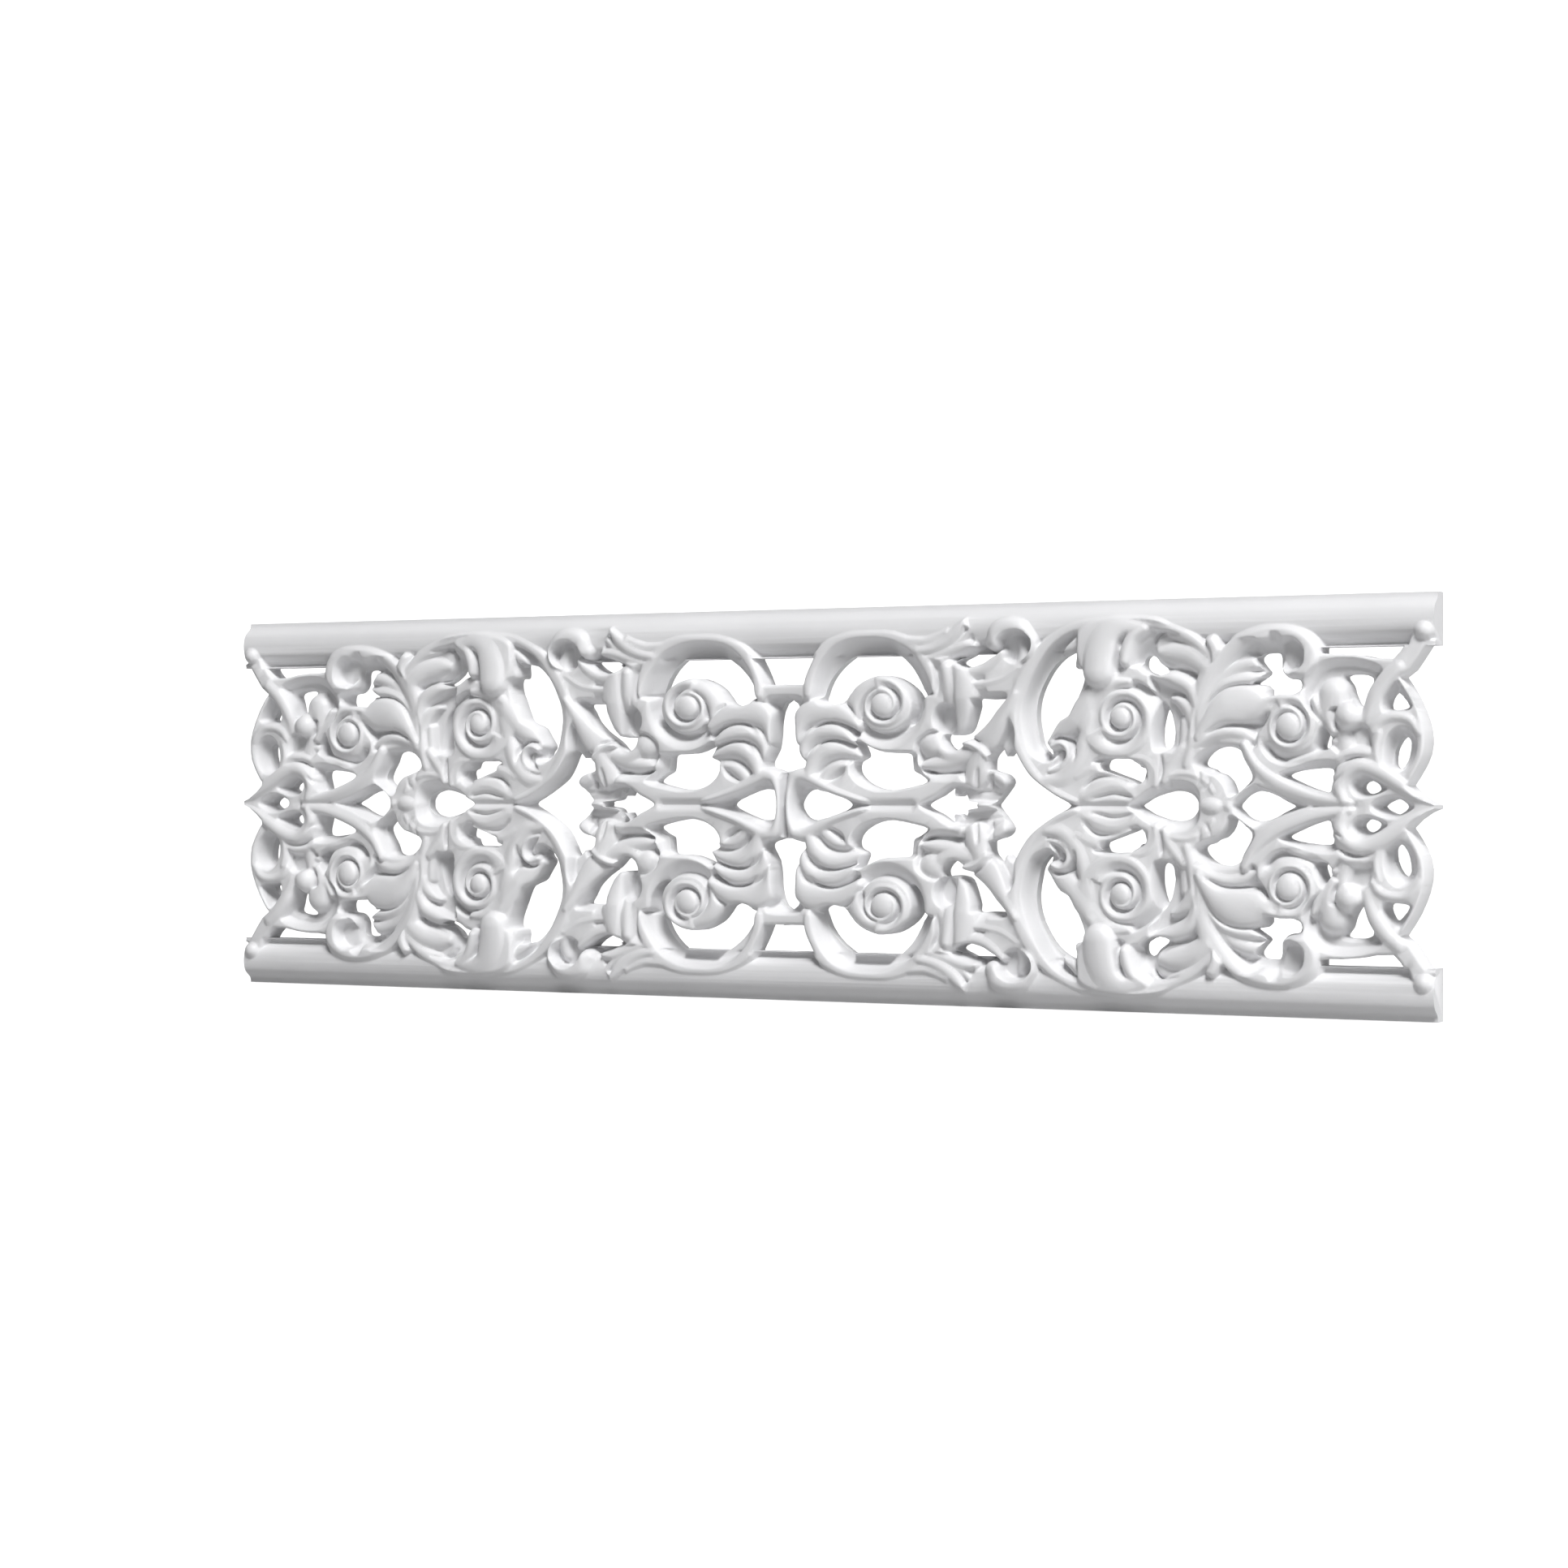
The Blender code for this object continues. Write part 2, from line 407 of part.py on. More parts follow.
    # Seams on the long axis
    relief.line([(0, 0), (5, 0)], 2, 2, 2)
    relief.plate([(-8, 16), (0, 18.5), (10, 18), (20, 13), (40, 4), (40, -4), (0, -6), (-12, 0)],
                 13, way="sink", soft=3)
    relief.stroke([(56, 2, 1.8), (44, 5.4, 2.4), (32, 9.4, 3), (22, 14, 3.6), (13.5, 17.8, 4.2),
                  (7, 16.6, 4), (4, 10, 2.8), (3, 3, 2.3), (3, -3, 2.3)], 15.5, 14.5, crown=2.4,
                  soft=0.8)
    relief.line([(0, 26), (0, 13), (0, 0)], 5.0, 1.8, 1.8, 1.2)
    relief.line([(52, 0), (88, 0)], 3.0, 4.5, 4.5, 1.3)
    relief.line([(188, 0), (222, 0)], 2.5, 3.5, 3.5, 1.3)
    relief.line([(330, 0), (357, 0)], 3.0, 4.5, 4.5, 1.3)
    # Joint of the first scroll with the leaf on the rail
    relief.line([(91, 65.5), (99.5, 65.5)], 5, 2.5, 0.8)
    relief.line([(101, 64), (101.5, 74), (98.5, 83), (90, 91, 0.3)], 3.0, 3.0, 1.0)
    # Hanging lobe and the cup beside it
    relief.plate([(128, 78), (132, 66), (128, 50), (122, 39), (112, 38), (106, 41), (106, 60),
                 (112, 76)], 8, way="sink", soft=3)
    relief.stroke([(117, 79, 5.5), (119.5, 69, 7.6), (120, 59, 8), (118, 50, 6.6),
                  (115.5, 43.5, 3.5)], [16, 14.5, 10], [16.5, 16.5, 11.5], crown=2.4, edge=3)
    relief.stroke([(108, 79, 4.5), (109, 69, 5.6), (108.5, 60, 5.2), (106.5, 53, 3)], [16, 14, 10],
                  [16, 14, 10], crown=3.0, edge=2.5, soft=0.8)
    relief.plate([(101, 55), (104.5, 58), (109.5, 57), (111, 51), (109, 44), (105, 41), (101.5, 44),
                 (99.5, 50)], 5, way="sink", soft=1.5)
    # Leaf on the rail
    relief.plate([(98, 86), (100, 93), (106, 98), (112, 98), (118, 103), (123, 100), (126, 91),
                 (120, 87.5), (110, 86)], 13.5, way="sink", soft=2)
    relief.stroke([(84, 95.5, 2.5), (94, 94.5, 3.2), (103, 97, 3.2), (109, 101.5, 1.2)], 16.5, 16,
                  crown=1.2, soft=1.0)
    relief.stroke([(90, 89, 3), (100, 91, 3.6), (109, 95.5, 4.2), (116, 101.5, 3.6),
                  (120, 106.5, 1.2)], 16.5, 16, crown=2.0, soft=0.8)
    relief.stroke([(96, 85, 2.5), (106, 87.5, 3.4), (115, 90.5, 3.6), (122, 92, 3),
                  (126.5, 91.5, 1.5)], 15.5, 14.5, crown=2.0, soft=0.8)
    relief.stroke([(112, 92, 2), (118, 95.5, 2.6), (123, 100, 2.2), (125, 104, 1)], 15, 14.5,
                  crown=1.5, soft=0.8)
    # Curled hood beside it
    relief.plate([(141, 89), (142, 94), (146, 98), (152, 99.6), (158, 98), (162, 93.5), (161, 88),
                 (157, 84), (152, 82), (147, 83.5)], 9.5, way="sink", soft=1.6)
    relief.stroke([(153, 72, 5.5), (155.5, 80, 5.2), (156, 87, 4.6), (154, 93, 3.5)], [13, 12, 10],
                  [13, 12, 10], crown=3.0, soft=1.5)
    relief.dome(137.5, 93.5, 5.2, 5, 13, 19)
    # Two bands from the leaf to the second scroll
    relief.stroke([(98, 85, 4), (107, 80.5, 4.6), (119, 76.2, 5), (130, 76.6, 5), (138, 81, 4.6),
                  (143.5, 86.5, 2.6)], 15, 12, crown=3.0, soft=0.6)
    relief.stroke([(120, 66.5, 4.5), (132, 66.5, 5.2), (144, 69, 5), (154, 76, 3.8)], 16.5, 9.5,
                  crown=1.6, soft=0.6)
    # Horn, its ring and the flower
    relief.plate([(88, 36), (90, 24), (94, 19), (116, 18), (121, 9), (138, 6.5), (148, 8),
                 (150, 17), (150, 30), (150, 44), (142, 52), (122, 40), (110, 33), (100, 43)], 9,
                 way="sink", soft=2)
    relief.stroke([(152, 64, 3.2), (145, 54, 5), (138, 45, 7.6), (132, 38, 9.4), (129, 33.5, 9)],
                  [16, 15, 13], [15, 13, 10], crown=3.0, soft=0.8)
    relief.stroke([(117.5, 36.2, 1.8), (123, 35.2, 2.4), (129.5, 31.8, 2.6), (135, 26.6, 2.4),
                  (137, 23, 1.6)], 13.5, 13.5, crown=3.6, way="set")
    relief.line([(120, 39), (127, 37), (133.5, 32.5), (139, 26.5)], 4.0, 1.6, 1.4)
    relief.line([(118, 32.5), (124, 31), (129, 27.5), (132, 23)], 3.0, 1.2, 1.6)
    relief.dome(97.5, 35.5, 10, 8.4, 8, 15)
    relief.stroke([(122, 29, 4), (112, 26, 5.4), (102, 24.5, 5.4), (94, 23.5, 4), (90, 23, 1.6)],
                  10.5, 10, crown=3.4, soft=1.2)
    relief.stroke([(127, 32, 4), (117, 29, 6.2), (109, 29, 6), (103, 32, 4.6)], 11.5, 11.5,
                  crown=3.0, soft=1.2)
    relief.stroke([(129.5, 31, 6), (127.5, 24, 7.6), (125, 17.5, 8.4), (123, 13.5, 7)], [13, 12.5,
                  11], [13, 12.5, 11], crown=3.2, edge=2.5, soft=0.8)
    relief.line([(128, 23, 0.4), (126.5, 16), (125.5, 8.5)], 3.0, 1.8, 1.8, 1.2)
    relief.stroke([(133, 24, 3.5), (138, 18, 5), (143, 14.2, 5), (147, 13.2, 3.4)], 11, 10,
                  crown=3.2, soft=0.8)
    relief.line([(136.5, 19.5), (134.5, 14), (134, 8.5)], 3.5, 1.0, 1.6)
    relief.line([(92, 20.5), (102, 18.2), (115, 19.2)], 6, 5, 0.8)
    relief.plate([(110, 11), (113, 5), (119, 3), (128, 2.2), (137, 2), (142, 6), (136, 8), (126, 9),
                 (118, 11.5)], 8, way="sink", soft=2)
    # Head of the second scroll
    relief.plate([(168, 36), (172, 44), (178, 50), (190, 55), (196, 47), (196, 34), (191, 22),
                 (180, 17), (172, 17), (177, 28)], 11.5, way="sink", soft=2.5)
    relief.stroke([(200, 64, 5), (194, 55, 7), (186, 47, 7), (178.5, 40.5, 5.5), (172.5, 36, 3)],
                  [15.5, 15, 10.5], [15.5, 14.5, 11], crown=2.4, soft=1.0)
    relief.stroke([(199, 52, 4), (196, 40, 5), (193, 30, 5.4), (188, 21, 5.6), (180, 14.5, 5.4),
                  (171, 14, 3.5)], 14.5, 15, crown=2.2, soft=1.0)
    relief.stroke([(174, 33.5, 1.8), (179, 35.6, 2.2), (183.5, 33, 2.4), (184.5, 27.5, 2.4),
                  (180.5, 22, 2.4), (173, 19.5, 1.8)], 13.5, 13.5, crown=2.6, soft=0.8)
    relief.line([(174, 37.6), (180, 38.8), (186, 36.5), (189, 31), (188.5, 25, 0.4)], 5.0, 1.6, 1.2,
                1.2)
    relief.line([(176, 30.5), (180, 31.5), (181.5, 28.5), (178.5, 25, 0.4)], 4.0, 1.2, 1.2)
    # Lower leaf of the second scroll
    relief.line([(226, 12.5), (217, 16.8), (208, 17.5), (200, 15.5), (193, 9, 0.4)], 4.0, 1.0, 3.0, 1.2)
    relief.stroke([(190, 16, 3), (199, 20.5, 3.6), (207, 20.5, 3.6), (215, 18.5, 3.2),
                  (222, 15, 2.4)], 14.5, 14, crown=2.0, soft=0.8)
    relief.stroke([(194, 5, 3), (204, 9.5, 3.6), (214, 11.5, 3.6), (222, 8.5, 2.6),
                  (226, 4.5, 1.6)], 14, 13.5, crown=2.4, soft=0.8)
    relief.line([(224, 5), (213, 7), (205, 5.5), (197, 3.5, 0.3)], 3.0, 1.0, 2.4)
    # Snail of the second scroll
    relief.line([(243, 33), (245, 43), (243, 54), (236, 63), (226, 69), (214, 69), (203, 64)], 7.0,
                1.5, 7, 1.2)
    relief.stroke([(222, 69.5, 2.5), (212, 68.5, 4.5), (203, 64, 6.5), (197.5, 56, 6.5),
                  (195.5, 46, 6)], 14.5, 15.5, crown=2.0, soft=1.0)
    relief.volute(217.5, 49.5, 25.5, 1.0, start=205, hand=1, shrink=0.5, rim=17.0, dip=5.5,
                  ball=6.6, top=EYE)
    # Leaf over the second snail
    relief.plate([(214, 102), (216, 90), (214, 76), (222, 78), (236, 80), (246, 74), (262, 74),
                 (272, 80), (268, 92), (252, 98), (240, 102), (226, 104)], 12, way="sink", soft=2.5)
    relief.plate([(236, 74), (238, 62), (243, 52), (243, 36), (252, 30), (262, 34), (266, 50),
                 (268, 70), (256, 76)], 9.5, way="sink", soft=2.5)
    relief.stroke([(230, 100, 4.5), (218, 101, 6.5), (209, 96, 9), (205.2, 86, 9.8),
                  (204.6, 76, 9.4)], [17, LEAF - 3, LEAF - 2], [16.5, 18, LEAF - 2], crown=[1.5,
                  2.0, 2.8], edge=3.5, soft=1.6)
    relief.stroke([(232, 99.5, 3.5), (225, 95, 4), (221.5, 88, 4.4), (220.3, 81.5, 3.8)], [15.5,
                  16.5, 17], [15.5, 16.5, 17], crown=3.0, edge=2.5, soft=0.8)
    relief.stroke([(190, 93, 3), (184.5, 87, 3.6), (183.5, 81.5, 3.4)], 13.5, 13.5, crown=2.0, soft=0.8)
    relief.stroke([(212, 102, 3), (226, 103.4, 3.2), (240, 101.2, 3.4), (252, 96.5, 3.6),
                  (262, 91.5, 3.4), (270, 84, 3)], 16.5, 15.5, crown=1.2, soft=1.0)
    relief.stroke([(274, 64, 4), (270, 76, 7), (260, 83.5, 7.6), (249, 85.5, 7.2),
                  (241.5, 85.5, 4.6)], [14.5, 14, 11], [14.5, 14, 11.5], crown=3.4, edge=2.5,
                  soft=1.0)
    relief.stroke([(263, 56, 3.5), (259, 65.5, 5), (250, 70.5, 4.6), (240, 73, 3), (229, 76, 2.6),
                  (220, 76.5, 2)], [14, 13.5, 12.5], [14.5, 13.5, 12], crown=3.0, soft=1.0)
    relief.stroke([(261, 44, 3.5), (258, 53.5, 4.8), (251.5, 58.8, 3.2), (247, 60, 1.6)], [13.5, 13,
                  11], [13.5, 13, 11], crown=2.8, soft=1.0)
    relief.stroke([(253, 27, 3.2), (255, 37, 3.8), (255, 47, 3.2)], 12, 12, crown=2.4, soft=1.0)
    relief.stroke([(257, 23, 3.5), (260.5, 36, 4), (263, 50, 4.4), (266, 64, 4.8), (269.5, 78, 4.6),
                  (271.5, 88, 3.4), (273, 93.5, 1.4)], 15, 15, crown=2.0, soft=1.0)
    relief.line([(236, 90), (237.5, 94.5), (243, 97.2), (254, 95, 0.3)], 5, 2.4, 1.0)
    # Claw leaf under the second snail
    relief.stroke([(221, 26.5, 2.6), (229, 27, 3), (235, 24, 3.4), (238.5, 18, 3.6), (238, 12, 3)],
                  14, 14, crown=2.2, soft=0.8)
    relief.stroke([(255, 32, 3.5), (250, 26, 4.2), (246, 20.5, 4), (243.5, 14, 3)], 14.5, 14.5,
                  crown=2.2, soft=0.8)
    relief.line([(241.5, 28), (242, 21), (240.5, 13, 0.4)], 4.0, 1.6, 1.6)
    relief.line([(227, 23.5), (231, 20), (232, 14)], 5, 2.4, 2)
    # Crest of the loop on the axis and its knobs
    relief.stroke([(246, 17, 2.4), (254, 18.6, 2.8), (262, 17.4, 3), (269, 13.5, 3), (273, 8, 2.4)],
                  14, 14.5, crown=2.2, soft=0.8)
    relief.line([(263, 21), (265, 16.5), (264, 12, 0.4)], 2.0, 1.0, 1.4)
    relief.line([(271, 16), (269.5, 11.5), (266, 8, 0.4)], 2.0, 1.0, 1.4)
    relief.dome(272, 0, 9, 5.6, 12, 18)
    relief.dome(282, 0, 5, 4.2, 12, 17)
    # Large leaf
    relief.plate([(264, 34), (262, 46), (266, 62), (273, 78), (282, 89), (292, 92), (300, 90),
                 (300, 80), (308, 74), (300, 67), (308, 62), (304, 48), (298, 40), (296, 33),
                 (278, 32)], 10, way="sink", soft=2.5)
    relief.stroke([(264, 40, 3), (266, 56, 4), (271, 70, 4.6), (279, 82, 4.6), (289, 91, 4),
                  (300, 96, 3.4), (311, 97, 3.4), (318, 95, 3.4)], [15, 16.5, 16.5, 16], [14, 13.5,
                  13, 15], crown=1.6, soft=0.8)
    relief.stroke([(268, 52, 2.5), (274, 64, 3.6), (282, 73, 4.4), (291, 77.5, 4.4),
                  (299, 78.5, 3.4), (305, 76, 1.8)], 12.5, 11.5, crown=2.2, soft=0.8)
    relief.stroke([(266, 44, 3), (271, 56, 4.2), (279, 65.5, 5), (289, 69.5, 4.8), (298, 70, 3.6),
                  (304, 71.5, 1.8)], [14, 13.5, 11], [14, 13.5, 11], crown=2.8, soft=0.8)
    relief.stroke([(264, 38, 3.5), (271, 47.5, 6), (279, 53.5, 9), (289, 56, 11), (299, 55.5, 9.5),
                  (305, 55, 5)], [15.5, 16, 14], [15.5, 16, 13.5], crown=2.6, edge=3, soft=0.6)
    relief.stroke([(262, 34, 3.5), (272, 39.5, 4.4), (282, 41, 4.6), (291, 39, 4.4),
                  (297, 36, 2.6)], [14.5, 14, 11.5], [14, 13, 11], crown=2.8, soft=0.8)
    relief.stroke([(262, 30, 3), (270, 35.5, 3.6), (280, 36.2, 3.4), (289, 34.5, 2.8),
                  (294, 33, 1.6)], 13, 11.5, crown=2.0, soft=0.8)
    relief.line([(266, 48, 0.2), (272, 59, 0.8), (280, 65.5), (290, 67.5), (299, 66.5, 0.5)], 3.5,
                1.6, 1.2)
    relief.line([(268, 40, 0.3), (280, 44.5, 0.9), (292, 45), (302, 44.5, 0.5)], 4.0, 1.4, 1.4)
    relief.plate([(312, 90), (319, 92), (325, 87), (325.5, 79), (321, 75), (315, 75), (312, 82)],
                 9.5, way="sink", soft=2)
    relief.stroke([(306, 96.5, 3), (316, 97, 3.8), (325.5, 93, 5), (330.5, 86, 5.4),
                  (329.5, 79, 4.6), (325, 74, 3.4), (319.5, 73.5, 2.2)], [15, 15.5, 14.5], [14,
                  11.5, 12], crown=3.2, edge=2.5, soft=1.0)
    # Snail of the large leaf
    relief.line([(340, 44), (337, 34), (330, 28), (320, 25), (309, 27), (302, 34)], 7.0, 5, 2.5, 1.2)
    relief.stroke([(296, 52, 4), (303, 57, 3.6), (310, 59.8, 3), (317, 59.8, 2.6)], 14.5, 14.5,
                  crown=2.4, soft=1.0)
    relief.volute(317, 44.5, 18.2, 1.0, start=115, hand=-1, shrink=0.58, rim=17.0, dip=5.0,
                  ball=7.6, top=EYE + 0.5)
    # Stem under it
    relief.stroke([(291, 33, 3.2), (296, 24, 3.6), (302, 17.5, 4.4), (310, 12, 5), (321, 7.5, 4.8),
                  (335, 3.6, 4.2), (352, 1.5, 3)], 16, 14, crown=2.0, soft=0.8)
    relief.stroke([(313, 21.5, 2.2), (321, 24.4, 2.8), (332, 27, 3.2), (345, 27.5, 3.4)], 12.5, 12,
                  crown=2.6, soft=0.8)
    # Arc over the bell, bell, curl and ball
    relief.plate([(326, 60), (328, 70), (334, 77), (345, 80), (360, 79), (370, 74), (364, 66),
                 (358, 58), (361, 48), (352, 36), (342, 34), (336, 46), (330, 52)], 9, way="sink",
                 soft=2)
    relief.stroke([(326, 56, 2.6), (326.5, 64, 3.2), (330.5, 72, 3.6), (338.5, 78.5, 3.8),
                  (349, 80.3, 3.8), (361, 78.8, 3.8), (373, 74.5, 3.4)], [13.5, 14, 15], [9, 8.5,
                  10], crown=2.0, soft=0.6)
    relief.stroke([(342, 50, 9.5), (342, 56, 10), (342.3, 60.5, 9.8)], 12.5, 12.5, crown=4.0,
                  edge=5, soft=0.8)
    relief.stroke([(331, 58, 2.5), (334, 52, 3.4), (339, 46, 3.6), (344, 38, 3.4), (347, 31, 3)],
                  13.5, 12, crown=2.6, soft=0.8)
    relief.plate([(341, 52), (342.5, 45), (347, 40.5), (354, 40), (361, 43.5), (362, 50), (356, 53),
                 (348, 54)], 7.5, way="sink", soft=1.4)
    relief.stroke([(341.5, 51.5, 1.6), (341, 46, 2), (343.5, 41, 2.2), (349, 38.2, 2.2),
                  (356, 39.5, 1.8)], 13, 13, crown=2.5, soft=0.6)
    relief.dome(351.5, 49.5, 8.3, 8.3, 11.5, 20.5)
    # End: strap, bead, outer band, leaf loop, heart
    relief.dome(394, 95.2, 6.5, 6, 11, 19, soft=0.5)
    relief.stroke([(387, 88.5, 1.6), (393, 88, 1.8), (399, 88.5, 1.6)], 14.5, 14.5, crown=1)
    relief.stroke([(380, 75, 4.8), (373, 69, 5), (366.5, 60, 4.8), (363, 51, 4.2), (361, 42, 4)],
                  [15, 15, 13], [15, 15, 13], crown=2.4, soft=0.8)
    relief.stroke([(382, 68, 2.6), (389, 58, 3.4), (393, 47, 3.8), (394, 36, 4), (392, 25, 4),
                  (387, 16, 4)], 14.5, 14.5, crown=2.0, soft=0.8)
    relief.stroke([(366, 41, 3), (370, 46, 3.6), (378, 48.5, 3.6), (386, 46.8, 3.6),
                  (391.5, 40, 3)], 15, 14, crown=2.6, soft=0.8)
    relief.stroke([(369, 40, 2.6), (367, 31, 2.8), (369, 23, 2.8), (375, 16, 2.6)], 15, 14.5,
                  crown=2.0, soft=0.8)
    relief.plate([(340, 36), (346, 40), (360, 44), (364, 36), (362, 26), (350, 26), (346, 30)], 11,
                 way="sink", soft=2.5)
    relief.stroke([(347.5, 44, 3.6), (348.5, 36, 5), (351, 28, 5.6), (354, 22, 5)], 12, 12.5,
                  crown=2.2, soft=1.0)
    relief.dome(343.5, 35.3, 3.6, 3, 9, 14)
    relief.dome(345.5, 27.6, 3.6, 3.2, 9, 14.5)
    relief.dome(345.3, 15.5, 4, 4, 10, 16)
    relief.stroke([(400, 1.5, 1.2), (391, 6, 3.2), (380, 12.5, 4.4), (370, 18.5, 4.8),
                  (359, 22, 4.8), (350.5, 18.5, 4.4), (346.5, 11, 4), (349, 3.5, 3)], 15.5, 16,
                  crown=2.4, soft=0.8)
    relief.stroke([(345, 26.5, 2.4), (352, 29, 3.2), (361, 29.3, 3.4), (368, 26, 2.6)], 13.5, 13.5,
                  crown=2.6, soft=0.6)
    relief.line([(342, 21), (348, 24), (356, 26.6), (366, 24.5, 0.4)], 3.0, 1.2, 1.2)
    relief.line([(341, 12.5), (346, 15), (350, 19, 0.3)], 2.5, 1.2, 1.2)


def rail_height(from_edge):
    """Ogee of a rail: a fillet, a hollow and a broad round, the same from both of its edges."""
    x = np.minimum(from_edge, DRAWN_RAIL - from_edge) / (DRAWN_RAIL / 2)
    low, high = RAIL_EDGE_DEPTH / UNIT, RAIL_DEPTH / UNIT
    shares = [0, 0.05, 0.12, 0.38, 0.65, 0.83, 0.92, 0.97, 1.0]
    places = [0, 0.14, 0.235, 0.346, 0.45, 0.567, 0.706, 0.837, 1.0]
    return low + (high - low) * np.interp(x, places, shares)


def keep_in_bounds(relief):
    top = max(RAIL_DEPTH / UNIT, LEAF + 2)
    relief.H = np.clip(relief.H, 3.0, top)


def carve(relief):
    from_edge = DRAWN_HEIGHT - relief.V
    relief.H[:] = np.where(from_edge < DRAWN_RAIL, rail_height(from_edge), DRAWN_FACE)
    ornament(relief)
    relief.soften_edges(EDGE_ROUNDING / UNIT)
    keep_in_bounds(relief)


def to_size(u, v, h):
    """From the drawing to metres: the space between the rails and the rails scale on their own."""
    half = HEIGHT / 2
    clear = half - RAIL_HEIGHT
    drawn_clear = DRAWN_HEIGHT - DRAWN_RAIL
    above = clear + (np.abs(v) - drawn_clear) / DRAWN_RAIL * RAIL_HEIGHT
    z = np.where(np.abs(v) <= drawn_clear, v / drawn_clear * clear, np.sign(v) * above)
    return u / DRAWN_LENGTH * LENGTH / 2, -h * UNIT, z


def whole(values):
    """The quarter mirrored to the left and down."""
    return np.pad(values, ((values.shape[0] - 1, 0), (values.shape[1] - 1, 0)), mode="reflect")


def front_sheet(relief):
    """The carved face as a triangle sheet, cut along every pierced outline."""
    keep = whole(np.maximum(relief.open, relief.V - (DRAWN_HEIGHT - DRAWN_RAIL)))
    rows, columns = keep.shape
    index = np.arange(rows * columns).reshape(rows, columns)
    a, b, c, d = index[:-1, :-1], index[:-1, 1:], index[1:, 1:], index[1:, :-1]
    halves = [(a, b, c), (a, c, d)]
    triangles = np.vstack([np.stack([k.ravel() for k in h], 1) for h in halves])
    value = settle(keep.ravel().copy(), triangles)
    u, v = np.meshgrid(np.arange(columns) - (columns - 1) / 2, np.arange(rows) - (rows - 1) / 2)
    spots = [u.ravel() * relief.grid, v.ravel() * relief.grid, whole(relief.H).ravel()]
    return cut_triangles(triangles, value, np.stack(spots, 1))


def settle(value, triangles):
    """Corners of the grid that lie close to an outline are put on it."""
    edges = np.vstack([triangles[:, [0, 1]], triangles[:, [1, 2]], triangles[:, [2, 0]]])
    p, q = value[edges[:, 0]], value[edges[:, 1]]
    crossing = (p * q) < 0
    share = np.where(crossing, p / np.where(crossing, p - q, 1), 0.5)
    near_first = edges[crossing & (share < 0.2), 0]
    near_second = edges[crossing & (share > 0.8), 1]
    value[near_first] = 0
    value[near_second] = 0
    return value


def cut_triangles(triangles, value, spots):
    sign = np.sign(value)
    corner_signs = sign[triangles]
    whole = (corner_signs >= 0).all(1) & (corner_signs > 0).any(1)
    faces = [tuple(t) for t in triangles[whole]]
    mixed = triangles[(corner_signs > 0).any(1) & (corner_signs < 0).any(1)]
    spots = list(map(tuple, spots))
    made = {}

    def between(i, j):
        key = (min(i, j), max(i, j))
        if key not in made:
            t = value[i] / (value[i] - value[j])
            made[key] = len(spots)
            spots.append(tuple(np.array(spots[i]) * (1 - t) + np.array(spots[j]) * t))
        return made[key]

    for corners in mixed:
        ring = []
        for k in range(3):
            i, j = corners[k], corners[(k + 1) % 3]
            if value[i] >= 0:
                ring.append(i)
            if value[i] * value[j] < 0:
                ring.append(between(i, j))
        for k in range(1, len(ring) - 1):
            faces.append((ring[0], ring[k], ring[k + 1]))
    return np.array(spots), faces


def part_touching_corners(bm):
    """Where two pieces of the sheet touch in one corner only, each gets a corner of its own."""
    for vert in [v for v in bm.verts if sum(e.is_boundary for e in v.link_edges) > 2]:
        left = set(vert.link_faces)
        fans = []
        while left:
            fan = [left.pop()]
            for face in fan:
                for edge in face.edges:
                    if vert in edge.verts:
                        joined = [f for f in edge.link_faces if f in left]
                        left.difference_update(joined)
                        fan.extend(joined)
            fans.append(fan)
        for fan in fans[1:]:
            middle = sum((f.calc_center_median() for f in fan), vert.co * 0) / len(fan)
            place = vert.co.lerp(middle, 0.05)
            corner = bm.verts.new(place)
            for face in fan:
                bm.faces.new([corner if v == vert else v for v in face.verts])
            bmesh.ops.delete(bm, geom=fan, context="FACES")


def sheet_mesh(points, faces):
    used = sorted({i for f in faces for i in f})
    renumber = {old: new for new, old in enumerate(used)}
    bm = bmesh.new()
    verts = [bm.verts.new(spot) for spot in zip(*to_size(*points[used].T))]
    for face in faces:
        bm.faces.new([verts[renumber[i]] for i in face])
    return bm


def close_to_wall(bm):
    """Straight sides down to the wall and a flat back."""
    fronts = list(bm.faces)
    border = [e for e in bm.edges if e.is_boundary]
    below = {v: bm.verts.new((v.co.x, 0.0, v.co.z)) for v in list(bm.verts)}
    for edge in border:
        first, second = edge.verts
        for loop in edge.link_faces[0].loops:
            if loop.edge == edge:
                first, second = loop.vert, loop.link_loop_next.vert
        bm.faces.new([second, first, below[first], below[second]])
    for face in fronts:
        bm.faces.new([below[v] for v in reversed(face.verts)])
    bmesh.ops.triangulate(bm, faces=list(bm.faces))
    bmesh.ops.recalc_face_normals(bm, faces=list(bm.faces))


def with_fewer_faces(mesh, kept):
    """The same solid described by fewer faces."""
    solid = bpy.data.objects.new("fine solid", mesh)
    bpy.context.scene.collection.objects.link(solid)
    fewer = solid.modifiers.new("fewer faces", "DECIMATE")
    fewer.ratio = kept / len(mesh.polygons)
    fewer.use_collapse_triangulate = True
    evaluated = solid.evaluated_get(bpy.context.evaluated_depsgraph_get())
    result = bpy.data.meshes.new_from_object(evaluated)
    bpy.data.objects.remove(solid, do_unlink=True)
    return result


